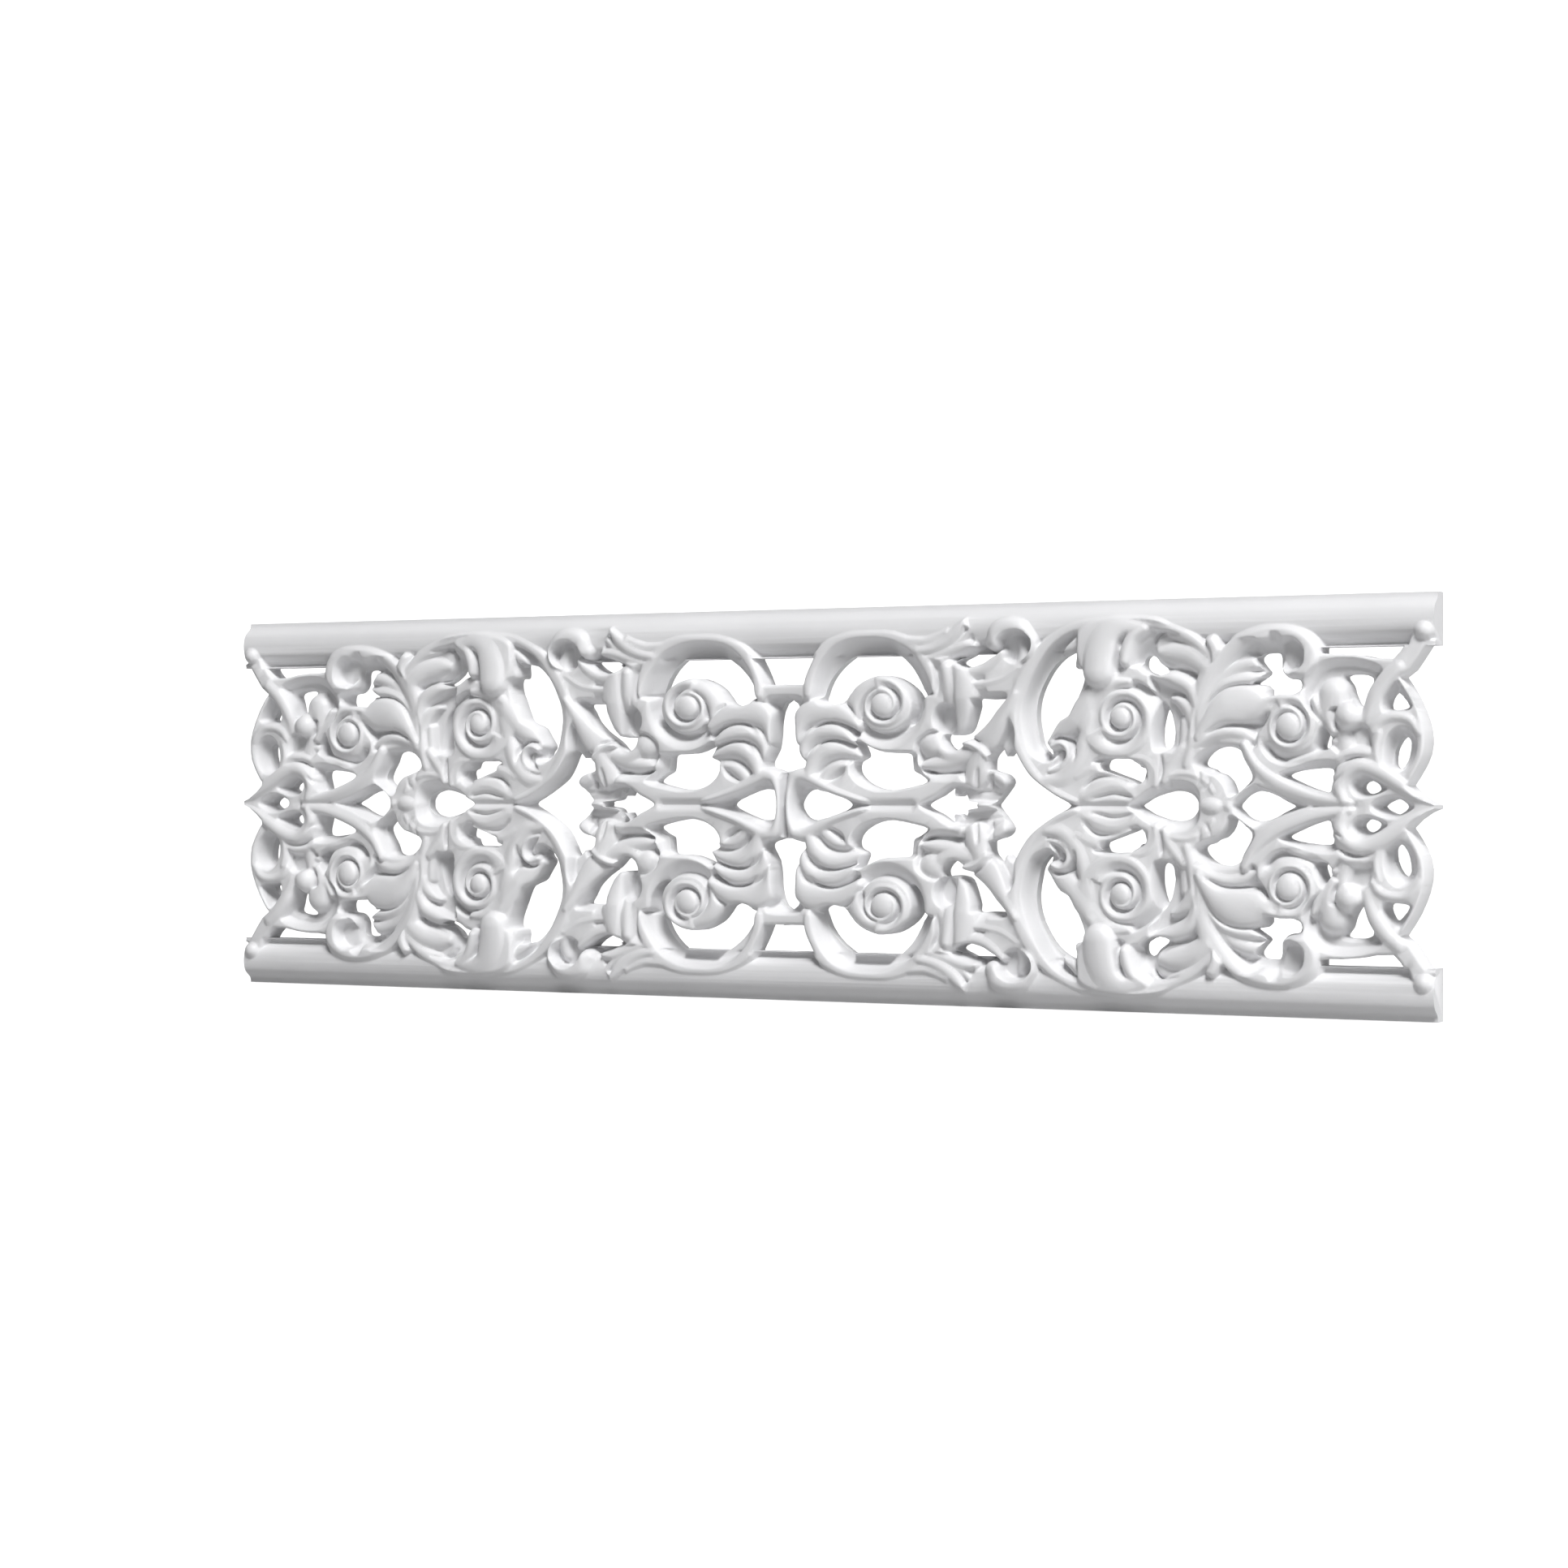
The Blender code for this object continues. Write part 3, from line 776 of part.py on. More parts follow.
def straighten(mesh):
    """Corners next to the wall plane, the ends and the long edges are put exactly on them."""
    near = 0.0006
    for vert in mesh.vertices:
        if vert.co.y > -near:
            vert.co.y = 0.0
        if LENGTH / 2 - abs(vert.co.x) < near:
            vert.co.x = math.copysign(LENGTH / 2, vert.co.x)
        if HEIGHT / 2 - abs(vert.co.z) < near:
            vert.co.z = math.copysign(HEIGHT / 2, vert.co.z)


def plaster():
    material = bpy.data.materials.new("white plaster")
    material.use_nodes = True
    shader = material.node_tree.nodes["Principled BSDF"]
    shader.inputs["Base Color"].default_value = (0.86, 0.86, 0.85, 1)
    shader.inputs["Roughness"].default_value = 0.55
    shader.inputs["Metallic"].default_value = 0.0
    return material


def build():
    clear_scene()
    collection = bpy.data.collections.new(NAME)
    bpy.context.scene.collection.children.link(collection)
    relief = Relief(GRID)
    carve(relief)
    points, faces = front_sheet(relief)
    bm = sheet_mesh(points, faces)
    part_touching_corners(bm)
    close_to_wall(bm)
    fine = bpy.data.meshes.new("fine")
    bm.to_mesh(fine)
    bm.free()
    mesh = with_fewer_faces(fine, FACES_KEPT)
    straighten(mesh)
    mesh.name = NAME
    mesh.materials.append(plaster())
    frieze = bpy.data.objects.new(NAME, mesh)
    collection.objects.link(frieze)
    return frieze


build()
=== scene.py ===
"""Looks of the pierced acanthus frieze: one white plaster casting on a pale studio floor.

One quarter is drawn as heights above the wall, on the drawing that the solid is made from but with
a finer step. It is mirrored, cut along the piercings, closed to a flat back and eased a little.
"""

import math

import bmesh
import bpy
import numpy as np
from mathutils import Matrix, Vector


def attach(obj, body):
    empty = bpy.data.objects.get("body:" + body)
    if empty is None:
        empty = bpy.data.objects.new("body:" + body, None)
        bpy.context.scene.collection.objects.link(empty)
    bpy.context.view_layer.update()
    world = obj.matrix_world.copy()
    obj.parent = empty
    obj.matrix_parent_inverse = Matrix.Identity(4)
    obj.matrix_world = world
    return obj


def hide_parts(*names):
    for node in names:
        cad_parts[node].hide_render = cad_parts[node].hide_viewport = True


bl_info = {
    "name": "Acanthus frieze",
    "version": (1, 0, 0),
    "blender": (4, 5, 0),
    "location": "3D view sidebar, Frieze tab",
    "description": "A pierced plaster frieze with scrolling leaves, and its studio",
    "category": "Object",
}

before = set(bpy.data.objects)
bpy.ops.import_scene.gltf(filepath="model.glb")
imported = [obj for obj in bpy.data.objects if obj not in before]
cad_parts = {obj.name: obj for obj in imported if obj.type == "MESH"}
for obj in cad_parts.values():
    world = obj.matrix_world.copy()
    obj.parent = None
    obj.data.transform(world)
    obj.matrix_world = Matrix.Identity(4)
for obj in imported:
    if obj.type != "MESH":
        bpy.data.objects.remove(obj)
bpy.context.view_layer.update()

# Sizes of the solid, metres
LENGTH = 0.800
HEIGHT = 0.232
RAIL_HEIGHT = 0.0289
RAIL_DEPTH = 0.0160
RAIL_EDGE_DEPTH = 0.0083
BAND_DEPTH = 0.0155      # face of the scroll bands above the wall
EYE_RISE = 0.0030        # spiral eyes above the band face
LEAF_RISE = 0.0070       # hanging leaf lobes above the band face
HOOD_RISE = 0.0050       # curled hoods above the band face
EDGE_ROUNDING = 0.0016   # softening along every pierced edge

# The drawing of one quarter, and heights in its units
DRAWN_LENGTH = 400.0
DRAWN_HEIGHT = 116.0
DRAWN_RAIL = 28.9
DRAWN_FACE = 15.5
UNIT = BAND_DEPTH / DRAWN_FACE
EYE = DRAWN_FACE + EYE_RISE / UNIT
LEAF = DRAWN_FACE + LEAF_RISE / UNIT
HOOD = DRAWN_FACE + HOOD_RISE / UNIT
LOWEST = 3.0             # thinnest carving that is kept
ROUNDED_FROM = 6.0       # an edge this high starts to be rounded
ROUNDED_OVER = 8.0       # and this much higher it is rounded in full

# Easing of the mesh
RELAX_FACTOR = 0.5
RELAX_PASSES = 2
NEAR_PLANE = 0.0002      # corners this close to a flat side are put on it
SHARP_ANGLE = 58         # degrees between faces that stay a crisp edge

# Camera that was solved from the rails, and the studio around it
CAMERA_PLACE = (1.01865, -1.83141, 0.01234)
CAMERA_TURN = 29.277     # degrees
CAMERA_LENS = 80.80      # millimetres on a 36 mm frame
FLOOR_GAP = 0.0005       # floor below the lower rail
FLOOR_FRONT = 25.0
FLOOR_BACK = 2.2
FLOOR_SIDE = 20.0
BEND = 1.2               # radius from the floor into the backdrop
BACKDROP_TOP = 6.0


def smooth_line(points):
    """Smooth line through rows whose first two numbers are u and v, a sample for each unit."""
    p = np.array(points, float)
    q = np.vstack([2 * p[0] - p[1], p, 2 * p[-1] - p[-2]])
    out = []
    for i in range(1, len(q) - 2):
        a, b, c, d = q[i - 1:i + 3]
        count = max(2, int(np.hypot(*(c - b)[:2])))
        t = (np.arange(count) / count)[:, None]
        out.append(curve_piece(a, b, c, d, t))
    out.append(p[-1:])
    return np.vstack(out)


def curve_piece(a, b, c, d, t):
    """Curve from b to c that runs on smoothly from a and to d."""
    linear = (c - a) * t
    square = (2 * a - 5 * b + 4 * c - d) * t * t
    cubic = (3 * b - a - 3 * c + d) * t ** 3
    return 0.5 * (2 * b + linear + square + cubic)


def closed_line(points, per=5):
    """Smooth closed line through the points."""
    p = np.array(points, float)
    count = len(p)
    t = (np.arange(per) / per)[:, None]
    out = []
    for i in range(count):
        a, b, c, d = p[i - 1], p[i], p[(i + 1) % count], p[(i + 2) % count]
        out.append(curve_piece(a, b, c, d, t))
    return np.vstack(out)


def over_axis(points):
    """Half an outline that starts and ends on the long axis, with its mirrored half."""
    return list(points) + [(u, -v) for u, v in reversed(points[1:-1])]


def nearest_on_line(path, u, v):
    """Signed offset (left of the line positive), distance and place along the line."""
    start, run = path[:-1, :2], np.diff(path[:, :2], axis=0)
    square = (run ** 2).sum(1) + 1e-12
    best = np.full(u.shape, 1e9)
    place = np.zeros(u.shape)
    side = np.zeros(u.shape)
    for k in range(len(start)):
        x, y = u - start[k, 0], v - start[k, 1]
        t = np.clip((x * run[k, 0] + y * run[k, 1]) / square[k], 0, 1)
        gap = (x - t * run[k, 0]) ** 2 + (y - t * run[k, 1]) ** 2
        nearer = gap < best
        best[nearer] = gap[nearer]
        place[nearer] = (k + t)[nearer]
        side[nearer] = (run[k, 0] * y - run[k, 1] * x)[nearer]
    distance = np.sqrt(best)
    return np.where(side >= 0, distance, -distance), distance, place


def depth_inside(outline, u, v):
    """Distance from a closed outline, positive inside it."""
    best = np.full(u.shape, 1e9)
    inside = np.zeros(u.shape, bool)
    for (ax, ay), (bx, by) in zip(outline, np.roll(outline, -1, axis=0)):
        dx, dy = bx - ax, by - ay
        t = np.clip(((u - ax) * dx + (v - ay) * dy) / (dx * dx + dy * dy + 1e-12), 0, 1)
        best = np.minimum(best, (u - ax - t * dx) ** 2 + (v - ay - t * dy) ** 2)
        if ay != by:
            inside ^= ((ay > v) != (by > v)) & (u < (bx - ax) * (v - ay) / (by - ay) + ax)
    distance = np.sqrt(best)
    return np.where(inside, distance, -distance)


def rounded(inside, edge):
    """How far a face has dropped at this distance from its edge."""
    x = np.clip((edge - inside) / edge, 0, 1)
    return edge * (1 - np.sqrt(np.clip(1 - x * x, 0, 1)))


class Relief:
    """Heights above the wall over one quarter, all in units of the drawing."""

    def __init__(self, grid):
        self.grid = grid
        self.U, self.V = np.meshgrid(np.arange(0, DRAWN_LENGTH + grid / 2, grid),
                                     np.arange(0, DRAWN_HEIGHT + grid / 2, grid))
        self.H = np.zeros(self.U.shape)
        self.open = np.full(self.U.shape, 1e3)

    def window(self, points, margin):
        """Rows and columns of the samples around the points."""
        low = (points.min(0) - margin) / self.grid
        high = (points.max(0) + margin) / self.grid
        columns = slice(max(0, int(low[0])), max(0, int(high[0]) + 2))
        rows = slice(max(0, int(low[1])), max(0, int(high[1]) + 2))
        return rows, columns

    def spread(self, value, along):
        """One number, or several spread evenly along a line."""
        value = np.atleast_1d(np.array(value, float))
        return np.interp(along, np.linspace(0, 1, max(2, len(value))), np.resize(value, max(2, len(value))))

    def blend(self, where, height, inside, way, soft):
        """Add a form on top, sink one below the face, or set its height."""
        old = self.H[where]
        if way == "add":
            k = np.clip(0.5 + 0.5 * (height - old) / soft, 0, 1)
            new = old * (1 - k) + height * k + soft * k * (1 - k) * 0.5
            share = np.clip(inside + 1, 0, 1)
            lifted = old + (np.maximum(new, old) - old) * share
            self.H[where] = np.where(inside > -self.grid, lifted, old)
            return
        if way == "sink":
            height = np.minimum(old, height)
        k = np.clip(inside / soft + 0.5, 0, 1)
        k = k * k * (3 - 2 * k)
        self.H[where] = old * (1 - k) + height * k

    def stroke(self, points, left, right, crown=0.0, way="add", edge=1.5, soft=1.2):
        """A band along a line, with the heights of both its sides. Rows are u, v, half width."""
        path = smooth_line(points)
        where = self.window(path[:, :2], path[:, 2].max() + 2 * self.grid)
        offset, distance, place = nearest_on_line(path, self.U[where], self.V[where])
        along = place / (len(path) - 1)
        half = np.interp(place, np.arange(len(path)), path[:, 2])
        t = np.clip(offset / np.maximum(half, 0.01), -1, 1)
        high, low = self.spread(left, along), self.spread(right, along)
        height = (high + low) / 2 + (high - low) / 2 * t + self.spread(crown, along) * (1 - t * t)
        inside = half - distance
        self.blend(where, height - rounded(inside, edge), inside, way, soft)

    def plate(self, outline, top, way="add", edge=2.5, soft=1.2):
        """A leaf or patch with a rounded edge inside a closed outline."""
        line = closed_line(outline)
        where = self.window(line, 2 * self.grid + 1)
        inside = depth_inside(line, self.U[where], self.V[where])
        self.blend(where, top - rounded(inside, edge), inside, way, soft)

    def line(self, points, drop, right, left, power=1.5):
        """A carved line, deepest on the line and fading to both sides. Rows are u, v, share."""
        rows = [(p[0], p[1], p[2] if len(p) > 2 else 1.0) for p in points]
        path = smooth_line(rows)
        where = self.window(path[:, :2], max(right, left) + self.grid)
        offset, distance, place = nearest_on_line(path, self.U[where], self.V[where])
        along = place / (len(path) - 1)
        share = np.interp(place, np.arange(len(path)), path[:, 2])
        total = np.hypot(*np.diff(path[:, :2], axis=0).T).sum()
        tip = np.clip(np.minimum(along, 1 - along) * total / 4 + 0.25, 0, 1)
        reach = np.where(offset > 0, left, right)
        self.H[where] -= drop * share * tip * np.clip(1 - distance / reach, 0, 1) ** power

    def dome(self, u, v, ru, rv, base, top, soft=0.8):
        """A knob that rises from the base to the top."""
        where = self.window(np.array([(u - ru, v - rv), (u + ru, v + rv)]), 2 * self.grid)
        q = np.hypot((self.U[where] - u) / ru, (self.V[where] - v) / rv)
        height = base + (top - base) * np.sqrt(np.clip(1 - np.minimum(q, 1) ** 2, 0, 1))
        self.blend(where, height, (1 - q) * min(ru, rv), "add", soft)

    def volute(self, u, v, reach, wide, start, hand, shrink, rim, dip, ball, top):
        """A snail: a rim winding inwards to a ball, with the face sunk between its turns."""
        where = self.window(np.array([(u - reach * wide, v - reach), (u + reach * wide, v + reach)]), 3)
        x, y = (self.U[where] - u) / wide, self.V[where] - v
        radius = np.hypot(x, y) + 1e-6
        turned = np.mod(hand * (np.degrees(np.arctan2(y, x)) - start), 360) / 360
        edge = reach * shrink ** turned
        turns = np.log(edge / radius) / np.log(1 / shrink)
        share = np.mod(turns, 1)
        begun = np.clip((turned + np.floor(turns)) / 0.15, 0, 1)
        sunk = np.clip((share - 0.25) / 0.5, 0, 1) ** 1.5 * np.clip((1 - share) / 0.2, 0, 1) ** 0.7
        height = rim - dip * sunk * begun - rounded(edge - radius, 1.6)
        bead = top - 4 + 4 * np.sqrt(1 - np.clip(radius / ball, 0, 1) ** 2)
        inner = np.clip((ball - radius) / 1.2, 0, 1)
        self.blend(where, height * (1 - inner) + bead * inner, edge - radius, "set", 1.0)

    def hole(self, back, front=None, foot=None, per=3):
        """A piercing. Between the front and the back outline the face sinks to the foot."""
        behind = closed_line(back, per)
        ahead = behind if front is None else closed_line(front, per)
        where = self.window(np.vstack([behind, ahead]), 6)
        u, v = self.U[where], self.V[where]
        outside = -depth_inside(behind, u, v)
        if front is not None:
            past = np.clip(depth_inside(ahead, u, v), 0, None)
            t = past / (past + np.clip(outside, 0, None) + 1e-6)
            old = self.H[where]
            sunk = old + (foot - old) * (1 - (1 - t) ** 2.2)
            self.H[where] = np.where((past > 0) & (outside > -1.5), np.minimum(old, sunk), old)
        self.open[where] = np.minimum(self.open[where], outside)

    def soften_edges(self, radius):
        """Round the carving off along every piercing."""
        near = np.clip(self.open, 0, radius)
        strength = np.clip((self.H - ROUNDED_FROM) / ROUNDED_OVER, 0, 1)
        drop = rounded(near, radius) * strength
        self.H -= np.where(self.open < radius, drop, 0)


def bands(relief):
    """Rims and the beds of the leaves that cross the rail."""
    # Rim of the first scroll
    relief.stroke([(17, 66, 3), (17.5, 74, 3.4), (21.5, 84, 4), (30, 92, 4), (42, 97.5, 3.2),
        (56, 99.3, 2.6), (70, 98.5, 3), (82, 94.7, 3.4), (90.5, 88, 3.6), (96, 80, 3.4), (99, 73, 2.8),
        (99.8, 66, 1.8)], 17.0, 16.6, crown=0.4, soft=0.6)
    # Fillet from the first scroll to the leaf on the rail
    relief.stroke([(78, 98, 2.5), (88, 95.5, 3), (98, 95, 4), (106, 97, 4)], 14.8, 16, soft=1.5)
    # Bed of the leaf on the rail
    relief.plate([(96, 88), (99, 95), (104, 98.5), (109, 101.5), (112, 98.5), (115, 99), (118, 105),
        (122, 104.5), (125, 97), (127, 91), (122, 87.5), (112, 85), (104, 82)], 18, edge=2.5)
    # Bed of the curled hood
    relief.plate([(136, 91), (134.5, 97), (136.5, 103), (142, 106.5), (150, 107.5), (158, 105.5),
        (163, 100), (166, 93), (162, 84), (152, 82), (143, 86), (139.5, 89)], HOOD, edge=5.5)
    # Rim of the second scroll
    relief.stroke([(208, 104, 2), (200, 103.3, 2.5), (190, 101, 3), (180, 96.5, 3.2), (170, 89.5, 3.6),
        (161, 79, 4), (154, 67, 3.6), (150.5, 55, 3.2), (151, 43, 3.2), (155, 31, 3.2), (161, 21, 3.2),
        (168, 13.5, 3), (177, 7, 3), (189, 2, 2.5)], 16.2, 16.8, crown=0.5, soft=0.6)
    # Bed of the leaf over the second snail
    relief.plate([(190, 88), (191, 98), (198, 103.5), (212, 106.5), (228, 106), (241, 104.5), (251, 99),
        (260, 94), (266, 91.5), (270, 93.5), (274, 94), (278, 88), (280, 80), (262, 74), (245, 80),
        (228, 78), (214, 76), (196, 74)], 19, edge=3)
    # Upper arch of the large leaf
    relief.plate([(274, 78), (279, 86), (285, 91.5), (295, 97), (306, 99.3), (316, 99.3), (325, 96),
        (331, 91.5), (334, 86), (334, 80), (330, 72), (320, 72), (314, 80), (308, 88), (295, 88),
        (284, 84)], 18.5, edge=3)
    # End bead and strap
    relief.stroke([(391, 90, 4.5), (389, 84, 5), (383, 77.5, 5.5), (376, 72, 6)], 14.5, 15.5, soft=0.6)


def piercings(relief):
    """Piercings, with the hollows that lead into them."""
    relief.hole([(0, 71), (13.5, 71), (16.5, 78), (22, 88.5), (0, 88.5)], per=1)
    relief.hole([(-4.5, 60), (4.5, 60), (8, 50), (8.5, 42), (10, 33), (14, 26), (13.5, 22.5), (9, 21),
        (4, 19.5), (0, 20), (-5, 20)], [(-12, 64.5), (0, 64.8), (10, 64.5), (13, 61.5), (12.5, 55),
        (11.8, 48), (12.5, 40), (14.5, 33), (16.5, 27), (16, 22.5), (9, 21), (0, 20), (-12, 20)],
        foot=5, per=2)
    relief.hole(over_axis([(40.5, 0), (38, 2.5), (30, 6), (21, 9), (14, 9), (10, 7.5), (7, 4),
        (5.5, 0)]), over_axis([(58, 0), (48, 3.2), (40, 5.3), (32, 8.6), (25, 11.3), (18, 13.6),
        (12, 13.8), (7, 12), (4.6, 7), (4.4, 0)]), foot=4, per=3)
    relief.hole([(22.5, 61), (23.6, 66), (26.4, 72.5), (31.4, 79), (38.2, 84.6), (46, 88.7), (58, 88.7),
        (70, 88.7), (77, 84.3), (82.6, 78.2), (86.4, 71.5), (88.9, 65.4), (90.3, 60), (89.5, 54),
        (86.5, 49), (82.5, 46.8), (86, 53), (87, 58), (86.3, 62.5), (83, 67), (77, 71.5), (70, 74.6),
        (62, 75.6), (54.5, 73.5), (47.5, 69.5), (42.5, 64), (39, 60), (30, 58.5)], [(18, 60),
        (19.5, 66), (20.5, 72), (23.5, 80), (28.5, 88), (35, 93.5), (43, 96.5), (52, 97.6), (62, 97.5),
        (72, 95.7), (81, 91), (88, 85), (93.5, 78), (97, 71), (98.5, 65), (93, 62), (92, 56), (88, 49),
        (82.5, 46.5), (84.5, 54), (85, 59), (84, 64), (80, 69), (74, 72.8), (68, 75), (62, 75.8),
        (54.2, 73.7), (47, 69.8), (42, 64.2), (38.5, 60.2), (27, 58.4)], foot=5.5, per=3)
    relief.hole([(50, 31.5), (50.5, 28), (45.5, 25.3), (44.8, 20), (49, 14.5), (58, 10), (69, 8.7),
        (81, 10.3), (92, 13.4), (88, 17.5), (83.3, 20), (82.5, 25), (81.3, 29.7), (74, 30.3), (65, 31),
        (56, 34), (50, 37), (47.5, 37)], [(49, 32), (51, 27), (46, 24.8), (45, 20), (49, 14.2),
        (58, 9.8), (69, 8.5), (81, 10), (97, 13.4), (92, 18), (89, 24), (88, 31), (80, 30.8),
        (70, 30.8), (63, 31.6), (55, 34.6), (50, 37.8), (47, 37.6)], foot=8, per=3)
    relief.hole([(113, 82.8), (118, 85.5), (125, 88.2), (137, 88.5), (134, 84), (128, 80.5),
        (121, 79.2), (115.5, 80.5)], [(105, 83.5), (111, 85.5), (118, 87.5), (126, 91), (131, 92),
        (143, 89.5), (139, 83), (131, 79.5), (122, 78.5), (113, 80)], foot=5, per=3)
    relief.hole([(124, 61.5), (133, 61), (142, 61), (139.5, 56), (136, 50), (129.5, 44), (120.5, 38),
        (116, 33.5), (112.5, 31.5), (108, 32), (104.5, 35), (103, 38.5), (104.5, 41.5), (109, 40.5),
        (114, 40.8), (118.5, 43), (121.5, 50), (123.5, 57)], [(122.5, 64), (133, 64.5), (146, 64),
        (143, 55), (138, 49), (130.5, 43), (121, 37), (116.5, 33), (112.5, 31.2), (107.5, 31.5),
        (103.5, 34.5), (101, 38.5), (104, 41.5), (109, 40.5), (114, 40.8), (118.5, 43), (121.3, 50),
        (123, 57)], foot=6, per=3)
    relief.hole(over_axis([(90, 0), (94, 3), (100, 5.7), (109, 11), (112, 5), (116.5, 8.5), (119, 3),
        (127, 1.5), (127, 0)]), per=3)
    relief.hole(over_axis([(183, 0), (176, 4.5), (170, 8), (160, 15), (155, 22), (150, 32), (146, 31),
        (143, 28), (140, 33.5), (134, 28), (133, 22), (134, 20), (142, 17.5), (145, 13), (141, 7),
        (136, 1), (135.5, 0)]), over_axis([(192, 0), (180, 4), (170, 10), (162, 16), (157, 22),
        (151, 31), (147, 33), (143, 30), (140, 34), (134, 28), (133, 22), (134, 20), (142, 18.3),
        (146.5, 13), (142.5, 7), (136, 1), (135.5, 0)]), foot=7, per=3)
    relief.hole([(161, 50), (161.5, 58), (163.5, 65), (167, 72), (171, 78), (176, 83), (182, 86.5),
        (188, 87.5), (188.2, 78), (193, 77.2), (193.5, 71), (190, 62), (186, 52.5), (183, 50),
        (176, 47), (172.5, 42), (168.5, 35.5), (171, 31.5), (171, 27.5), (167, 30.5), (164, 35),
        (162.5, 41)], [(155, 50), (156, 58), (159, 66), (163.5, 75), (169, 84), (176, 92), (184, 97),
        (191, 98.5), (191.5, 90), (188.5, 78), (194, 77), (194.3, 71), (190.5, 61.5), (187, 52.2),
        (183.5, 49.8), (178, 47), (175.5, 41.5), (175, 36), (177.5, 33), (177, 28), (171.5, 24.5),
        (162, 29), (157, 39)], foot=6, per=3)
    relief.hole([(228, 78), (228.5, 82.5), (231, 84.5), (235, 83.5), (238, 80), (243, 76.5),
        (246, 74.8), (243, 73.2), (237, 73), (231, 75)], [(224.5, 77), (224, 83), (226, 91),
        (232, 96.5), (240, 97.5), (249, 95.5), (243, 92), (239.5, 87), (240.5, 82), (247, 77.5),
        (255, 75), (248, 72.6), (237, 72.6), (229, 74.5)], foot=6, per=3)
    relief.hole([(238, 34), (237.5, 42), (239, 50), (241, 54.5), (244, 50), (245.5, 43), (246, 36),
        (244, 32.5), (240, 32)], [(236.5, 33), (236.5, 44), (238.5, 54), (240.5, 58.5), (245, 53),
        (248.5, 45), (250, 36), (248.5, 31.5), (240, 30.5)], foot=6, per=3)
    relief.hole([(204, 24), (207, 26.5), (218, 26.3), (224, 26), (226, 22), (229, 20.5), (228.5, 15.5),
        (226, 12.5), (221, 14.5), (214, 17), (207, 19.5), (204, 21)], [(199.5, 24.5), (204, 27),
        (218, 26.5), (225, 26.4), (228, 23), (231.5, 20), (230.5, 14), (226, 11.8), (220, 14),
        (212, 17), (205, 19.5), (200, 20.5)], foot=7, per=3)
    relief.hole([(263.5, 24.5), (266, 28.5), (271, 32), (277, 33), (285, 32), (288, 26), (293, 16.5),
        (289, 11), (283, 6.3), (281.3, 10), (279.3, 14), (275.5, 17.5), (272, 18.5), (269, 20.5),
        (264.5, 22)], [(260.5, 24), (263.5, 29), (270, 33.2), (279, 34), (288, 32), (292, 25),
        (297.3, 15.5), (291, 10), (283, 5.5), (280.5, 10), (278, 14), (274, 17.3), (270, 18.3),
        (264, 20.5)], foot=7, per=3)
    relief.hole(over_axis([(225, 0), (228, 2.2), (233, 5), (243, 8), (251, 8.3), (257, 6.5), (260, 3),
        (260.5, 0)]), over_axis([(221, 0), (226, 3.5), (232, 8), (241, 12.5), (250, 14.3), (259, 13),
        (264, 8), (264.5, 0)]), foot=6, per=3)
    relief.hole(over_axis([(284, 0), (286, 3), (290, 6.5), (295, 8.3), (301, 8), (307, 6), (313, 2.7),
        (318, 0)]), over_axis([(284, 0), (286, 3), (291, 8), (297, 12), (301, 10.5), (309, 7),
        (318, 3.6), (329, 0)]), foot=6, per=3)
    relief.hole([(296.9, 81), (299, 84), (304, 84.5), (309, 84), (310.3, 80), (310.3, 76), (312.5, 72),
        (316, 70), (321, 69), (321, 62), (312, 61.5), (303.5, 60.5), (303, 64), (300, 66.8),
        (294.5, 67.5), (298.5, 70.5), (302.1, 73.5), (299, 77.5)], [(284, 84), (288, 88.5), (296, 91),
        (305, 92.5), (307, 96), (312, 95.3), (315, 91), (314, 84), (313, 77), (314, 73), (318, 71),
        (324, 69.5), (326, 64), (312, 61.2), (303, 60), (302.5, 64), (299.5, 66.5), (294, 67.3),
        (298, 70.5), (301.6, 73.5), (298, 77.5), (294.5, 80)], foot=6, per=3)
    relief.hole([(335, 83.8), (335, 88.7), (348, 88.7), (365, 88.7), (384, 88.7), (381, 84), (377, 80),
        (366, 80.5), (357, 82.2), (348, 83), (341, 83)], per=1)
    relief.hole([(347, 71), (355, 72), (363, 70), (362, 64), (360.5, 58), (357.5, 53.5), (354, 56),
        (351.5, 61), (350, 66)], [(344, 71), (346, 74), (355, 74.8), (365, 73), (366, 66), (363, 59),
        (358.5, 53), (354, 56), (351.5, 61), (349.5, 66)], foot=7, per=3)
    relief.hole([(313, 17), (322, 20), (338, 21), (341, 18), (339.5, 11), (338, 7.5), (330, 9),
        (320, 13)], [(311, 17), (320, 21), (330, 24.5), (344, 25), (344, 18), (342, 9), (338, 6.7),
        (330, 8.8), (320, 12.8)], foot=8, per=3)
    relief.hole([(334, 33), (335.5, 38), (337, 41), (339, 38.5), (338.5, 33), (336, 31)], [(331, 31.5),
        (333, 38), (336, 44), (341, 44), (342.5, 38), (341, 33), (338, 30.5)], foot=6, per=2)
    relief.hole([(372, 53), (372.5, 58), (375.5, 62), (379, 60), (383, 54), (378, 52.2)],
        [(371.5, 51.5), (371, 59), (374, 66), (380, 68.5), (386, 61), (388, 54), (382, 51)], foot=5,
        per=2)
    relief.hole([(375, 22), (375, 29), (377.5, 35), (381, 38), (384, 36), (384, 31), (382.5, 25),
        (379, 20.5)], [(373, 22), (371.5, 31), (374, 39), (380, 43.5), (387, 41), (390.5, 34),
        (389, 26), (384, 19.5), (377, 18)], foot=6, per=3)
